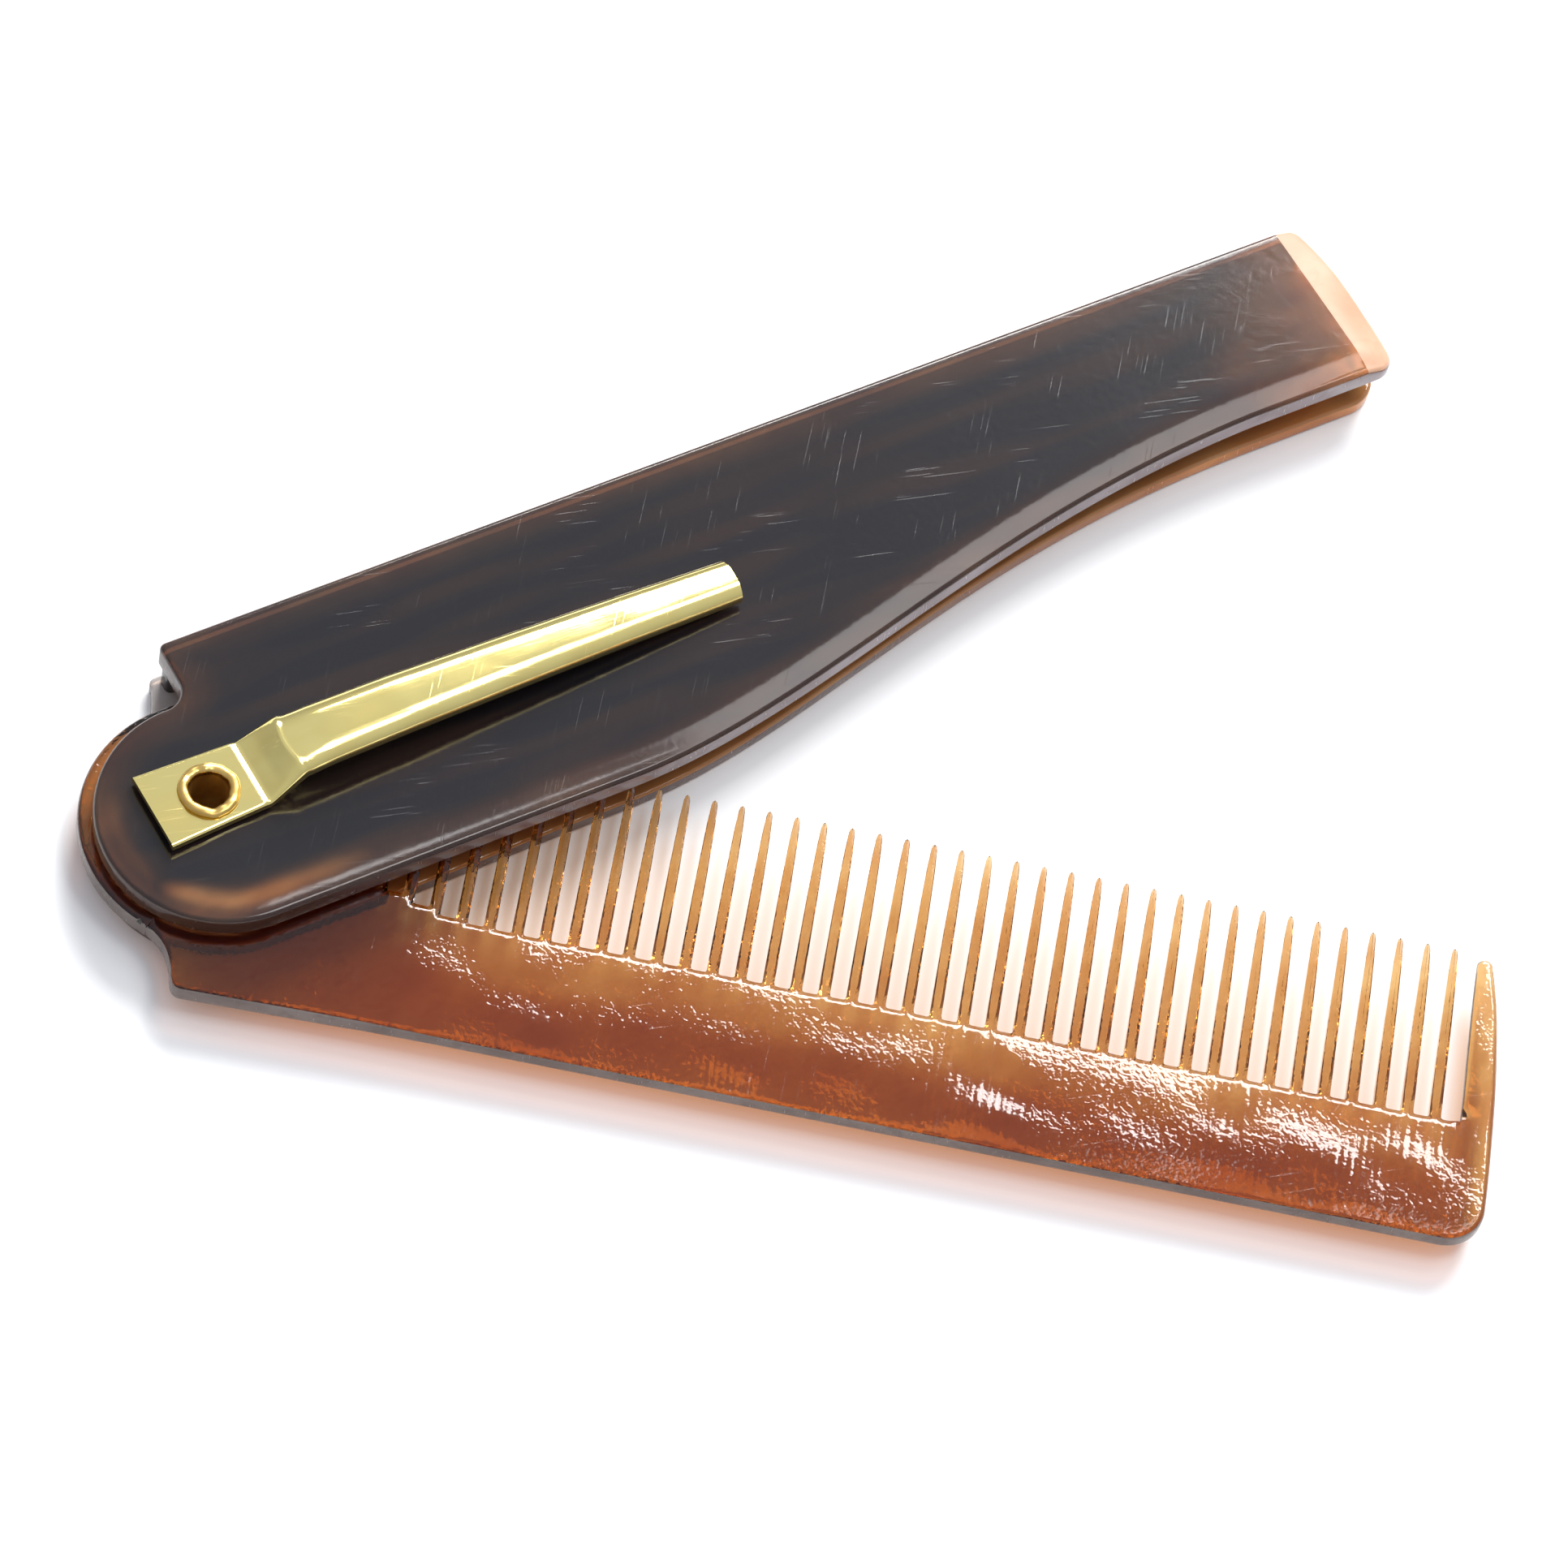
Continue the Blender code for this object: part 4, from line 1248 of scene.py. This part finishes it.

# %% [markdown]
# The bottom plate is a warmer, milky brown, with a pale patch of painted light where the notch lets light
# in behind it. The top plate and the strip are stained nearly black, with faint brown streaks along the
# sheet. Where the stored glow is high, a painted glow of light through the thin plastic turns the stain
# orange brown. Two whole materials could be mixed for that, but one shader with a mixed base colour is
# cheaper and has no seam.

# %% Brown and stained plastic of the handle
WARM_ABSORBED, WARM_DENSITY = (0.86, 0.50, 0.02, 1.0), 500.0
STAIN_ABSORBED, STAIN_DENSITY = (0.80, 0.44, 0.02, 1.0), 460.0

warm, tree, shader = new_material("warm_brown_plastic")
place = add(tree, "ShaderNodeSeparateXYZ", in_Vector=in_millimetres(tree)).outputs
# Painted light: a pale patch in the notch, where light comes in behind the plate.
notch_painted_light = times(tree, remap(tree, place["X"], pivot.x / MM + 4.5, pivot.x / MM + 3.0),
                 remap(tree, place["Y"], pivot.y / MM + 7.0, pivot.y / MM + 8.5))
tint = clouded_tint(tree, (0.96, 0.46, 0.17, 1.0), (0.82, 0.34, 0.11, 1.0))
finish_plastic(warm, mix_colour(tree, notch_painted_light, tint, (1.0, 0.90, 0.84, 1.0)), WARM_ABSORBED, WARM_DENSITY,
               rough=0.08, wave=(8.0, 0.5, 0.10), scratch=0.5, speckle=(0.06, 0.0), clear=0.6)

stained, tree, shader = new_material("stained_plastic")
painted_glow_tint = clouded_tint(tree, (1.0, 0.50, 0.20, 1.0), (0.70, 0.27, 0.09, 1.0))
streak = noise(tree, in_millimetres(tree, (0.05, 0.45, 1.0)), 1.0, 1.0)
dark_tint = mix_colour(tree, remap(tree, streak, 0.42, 0.66),
                       (0.034, 0.034, 0.042, 1.0), (0.078, 0.049, 0.043, 1.0))
# Painted light: the stored glow mixes orange brown into the stain where light would come through thin
# plastic.
glow = add(tree, "ShaderNodeAttribute", attribute_name="glow").outputs["Fac"]
patches = place_group(tree, clouds, Patch_Size=4.0, Fleck_Size=0.5)["Patches"]
glow = maths(tree, "MULTIPLY", glow, remap(tree, patches, 0.0, 1.0, 0.6, 1.15), clamp=True)
finish_plastic(stained, mix_colour(tree, glow, dark_tint, painted_glow_tint), STAIN_ABSORBED, STAIN_DENSITY,
               rough=0.12, wave=(9.0, 0.30, 0.05), scratch=0.35, speckle=(0.02, 0.0), clear=0.75)
print(warm.name, "and", stained.name, "made")

# %% [markdown]
# A sawn wall is never polished as well as a face. It stays matt, because its fine grooves scatter the
# light before it gets far into the plastic. So each plastic has a second material with the same depth of
# colour, a duller, greyish base colour and less clearness. On the handle that base colour also holds
# painted light: a painted reflection on the top plate's walls, and painted light coming through the bottom
# plate's walls towards the far end. A noise in one clear material could imitate the grooves, but at this
# size they would cost many samples and look like sand.

# %% Sawn walls
SAWN = {"wave": (4.0, 0.4, 0.3), "scratch": 0.8, "speckle": (0.2, 0.0)}


def along_handle(tree, start, end):
    """Zero before start and one after end, in millimetres from the pivot towards the far end."""
    place = add(tree, "ShaderNodeSeparateXYZ", in_Vector=in_millimetres(tree)).outputs["X"]
    return remap(tree, place, pivot.x / MM + start, pivot.x / MM + end)


sawn_amber, tree, shader = new_material("sawn_amber")
tint = clouded_tint(tree, (0.30, 0.24, 0.21, 1.0), (0.19, 0.14, 0.12, 1.0))
finish_plastic(sawn_amber, tint, AMBER_ABSORBED, AMBER_DENSITY, rough=0.22, clear=0.35, **SAWN)
let_light_through(sawn_amber, THIN_AMBER)

sawn_stained_painted_reflection, tree, shader = new_material("sawn_stained_painted_reflection")
# Painted reflection: the grey lilac stands in for the white table mirrored in the wall, and the dark brown
# near the lobe, fading out from 2 to 26 mm, for the blade mirrored below it.
tint = clouded_tint(tree, (0.36, 0.30, 0.31, 1.0), (0.24, 0.18, 0.18, 1.0))
tint = mix_colour(tree, along_handle(tree, 2.0, 26.0), (0.07, 0.035, 0.025, 1.0), tint)
finish_plastic(sawn_stained_painted_reflection, tint, STAIN_ABSORBED, STAIN_DENSITY, rough=0.20, clear=0.2, **SAWN)

sawn_warm_painted_light, tree, shader = new_material("sawn_warm_painted_light")
tint = clouded_tint(tree, (0.24, 0.17, 0.15, 1.0), (0.14, 0.09, 0.08, 1.0))
# Painted light: between 50 and 82 mm along the handle the wall turns orange, where light comes through the
# thin plate towards the far end.
orange = clouded_tint(tree, (0.80, 0.30, 0.07, 1.0), (0.58, 0.19, 0.04, 1.0))
tint = mix_colour(tree, along_handle(tree, 50.0, 82.0), tint, orange)
finish_plastic(sawn_warm_painted_light, tint, WARM_ABSORBED, WARM_DENSITY, rough=0.20, clear=0.25, **SAWN)

planed, tree, shader = new_material("planed_plastic_painted_glow")
# Painted light: the slope's peach base colour stands in for the bright table seen through the thin end; its
# roughness comes from the planing marks.
put(tree, shader.inputs["Base Color"], clouded_tint(tree, (0.56, 0.33, 0.21, 1.0), (0.50, 0.28, 0.17, 1.0)))
marks = place_group(tree, scratches, Amount=1.0)["Scratches"]
put(tree, shader.inputs["Roughness"], remap(tree, marks, 0.0, 1.0, 0.38, 0.6))

for piece, finishes in ((top_plate, (stained, sawn_stained_painted_reflection, planed)), (bottom_plate, (warm, sawn_warm_painted_light)),
                        (strip, (stained,)), (blade, (amber, sawn_amber))):
    for finish in finishes:
        piece.data.materials.append(finish)
    print(piece.name, [finish.name for finish in finishes])

# %% [markdown]
# The clip is polished brass with faint drawing lines along it, and the rivet is the same metal left
# rougher by the rolling tool and tarnished in its bore. All are plain metals: the look comes from what
# they mirror, so the roughness and a fine bump do the work, and the colour only drifts a little.

# %% Brass
def brass(name, bright, dull, rough, spread, lines, scratch):
    """Brass with drawing lines along the clip, patches of dulling and hairline scratches."""
    made, tree, shader = new_material(name)
    patches = place_group(tree, clouds, Patch_Size=3.0, Fleck_Size=0.35)["Patches"]
    marks = place_group(tree, scratches, Amount=scratch)["Scratches"]
    swell = place_group(tree, waves, Wave_Size=5.0, Wave_Height=0.25, Peel_Height=0.05)["Height"]
    drawn = noise(tree, in_millimetres(tree, (0.05, 5.0, 5.0)), 1.0, 3.0)
    put(tree, shader.inputs["Base Color"], mix_colour(tree, times(tree, patches, 0.45), bright, dull))
    roughness = maths(tree, "ADD", multiply_add(tree, patches, spread, rough), times(tree, marks, 0.25))
    put(tree, shader.inputs["Roughness"], roughness)
    height = maths(tree, "ADD", swell, times(tree, drawn, lines))
    bump = add(tree, "ShaderNodeBump", in_Height=height, in_Strength=1.0, in_Distance=0.00005)
    put(tree, shader.inputs["Normal"], bump.outputs["Normal"])
    shader.inputs["Metallic"].default_value = 1.0
    return made


clip.data.materials.append(brass("polished_brass", (0.95, 0.81, 0.31, 1.0), (0.80, 0.62, 0.20, 1.0),
                                 rough=0.09, spread=0.05, lines=0.12, scratch=0.6))
rivet.data.materials.append(brass("rolled_brass", (0.66, 0.45, 0.14, 1.0), (0.38, 0.22, 0.06, 1.0),
                                  rough=0.26, spread=0.20, lines=0.40, scratch=0.8))
rivet.data.materials.append(brass("tarnished_brass", (0.62, 0.38, 0.10, 1.0), (0.28, 0.14, 0.03, 1.0),
                                  rough=0.40, spread=0.15, lines=0.30, scratch=0.8))
print("finishes", [material.name for material in bpy.data.materials])

# %% [markdown]
# The comb lies on a plain white table. One large square is enough, since the camera never sees its edge.

# %% Table
TABLE_HALF = 2.0
corners = [(-TABLE_HALF, -TABLE_HALF, 0.0), (TABLE_HALF, -TABLE_HALF, 0.0),
           (TABLE_HALF, TABLE_HALF, 0.0), (-TABLE_HALF, TABLE_HALF, 0.0)]
mesh = bpy.data.meshes.new("table")
mesh.from_pydata(corners, [], [(0, 1, 2, 3)])
floor = bpy.data.objects.new("table", mesh)
bpy.context.scene.collection.objects.link(floor)
white, tree, shader = new_material("white_table")
grain = add(tree, "ShaderNodeTexNoise", in_Scale=60.0, in_Detail=2.0).outputs["Fac"]
tone = mix_colour(tree, grain, (0.88, 0.88, 0.87, 1.0), (0.90, 0.90, 0.89, 1.0))
put(tree, shader.inputs["Base Color"], tone)
shader.inputs["Roughness"].default_value = 0.7
mesh.materials.append(white)
print("table", 2 * TABLE_HALF, "m wide")

# %% [markdown]
# The light is soft, as in a white studio tent. The world gives an even fill that is paler overhead. A
# wide softbox stands at the back right, where the handle's flat face just misses it in the mirror, so
# that only rounded and wavy surfaces catch it. It is rolled a little, so that its mirrored edge stays off
# the whole length of the handle. Two small ones high up draw the rims and the clip. Three lamps in place
# of one big one let each highlight be moved without touching the others.

# %% World and softboxes
HORIZON_LIGHT = 0.42
ZENITH_LIGHT = 0.74
COOL_WHITE = (0.95, 0.98, 1.08, 1.0)
world = bpy.data.worlds.new("studio")
world.use_nodes = True
tree = world.node_tree
direction = add(tree, "ShaderNodeTexCoord").outputs["Generated"]
upward = add(tree, "ShaderNodeSeparateXYZ", in_Vector=direction).outputs["Z"]
sky = remap(tree, upward, 0.0, 1.0, HORIZON_LIGHT, ZENITH_LIGHT)
put(tree, tree.nodes["Background"].inputs["Strength"], sky)
tree.nodes["Background"].inputs["Color"].default_value = COOL_WHITE
bpy.context.scene.world = world


def add_softbox(name, azimuth, elevation, distance, size, brightness, roll=0.0):
    """A softbox that faces the comb. Azimuth counts in degrees from +X, and brightness is its radiance."""
    a, e = radians(azimuth), radians(elevation)
    centre = Vector((cos(a) * cos(e), sin(a) * cos(e), sin(e))) * distance
    light = bpy.data.lights.new(name, "AREA")
    light.shape = "RECTANGLE"
    light.size, light.size_y = size
    light.energy = brightness * pi * size[0] * size[1]
    holder = bpy.data.objects.new(name, light)
    holder.location = centre
    holder.rotation_mode = "QUATERNION"
    facing = (-centre).to_track_quat("-Z", "Y")
    holder.rotation_quaternion = facing @ Matrix.Rotation(radians(roll), 3, "Z").to_quaternion()
    bpy.context.scene.collection.objects.link(holder)
    print(name, round(light.energy, 2), "watts")


add_softbox("back_right", 44.0, 38.0, 1.6, (1.0, 0.60), 20.0, -22.0)
add_softbox("overhead", -35.0, 72.0, 0.9, (0.30, 0.22), 8.0)
add_softbox("right", 10.0, 61.0, 0.9, (0.26, 0.24), 4.5)

# %% [markdown]
# The camera looks down at the comb from the front left, a little tilted, through a long lens, which keeps
# the far end of the handle nearly as large as the near one. Its place was found once, by matching the
# teeth, the blade's edges and the rivet, and it is kept here as plain numbers. It stays fixed while the
# blade folds. The Standard view keeps the white of the table clean.

# %% Camera
CAMERA_AZIMUTH = radians(-39.95)
CAMERA_ELEVATION = radians(57.0)
CAMERA_ROLL = radians(13.99)
CAMERA_DISTANCE = 0.5912
CAMERA_AIM = Vector((-0.00412, 0.01412, 0.0))
CAMERA_LENS = 188.76
bpy.context.scene.view_settings.view_transform = "Standard"
camera = bpy.data.objects.new("camera", bpy.data.cameras.new("camera"))
bpy.context.scene.collection.objects.link(camera)
level = cos(CAMERA_ELEVATION)
back = Vector((sin(CAMERA_AZIMUTH) * level, -cos(CAMERA_AZIMUTH) * level, sin(CAMERA_ELEVATION)))
camera.rotation_mode = "QUATERNION"
upright_view = (-back).to_track_quat("-Z", "Y")
camera.rotation_quaternion = upright_view @ Matrix.Rotation(CAMERA_ROLL, 3, "Z").to_quaternion()
camera.location = CAMERA_AIM + back * CAMERA_DISTANCE
camera.data.lens = CAMERA_LENS
camera.data.sensor_width = 36.0
camera.data.clip_start = 0.01
bpy.context.scene.camera = camera
print("camera at", tuple(camera.location))

# %% [markdown]
# Last, a line is printed to say that the scene is built.

# %% Finish
print("scene built")
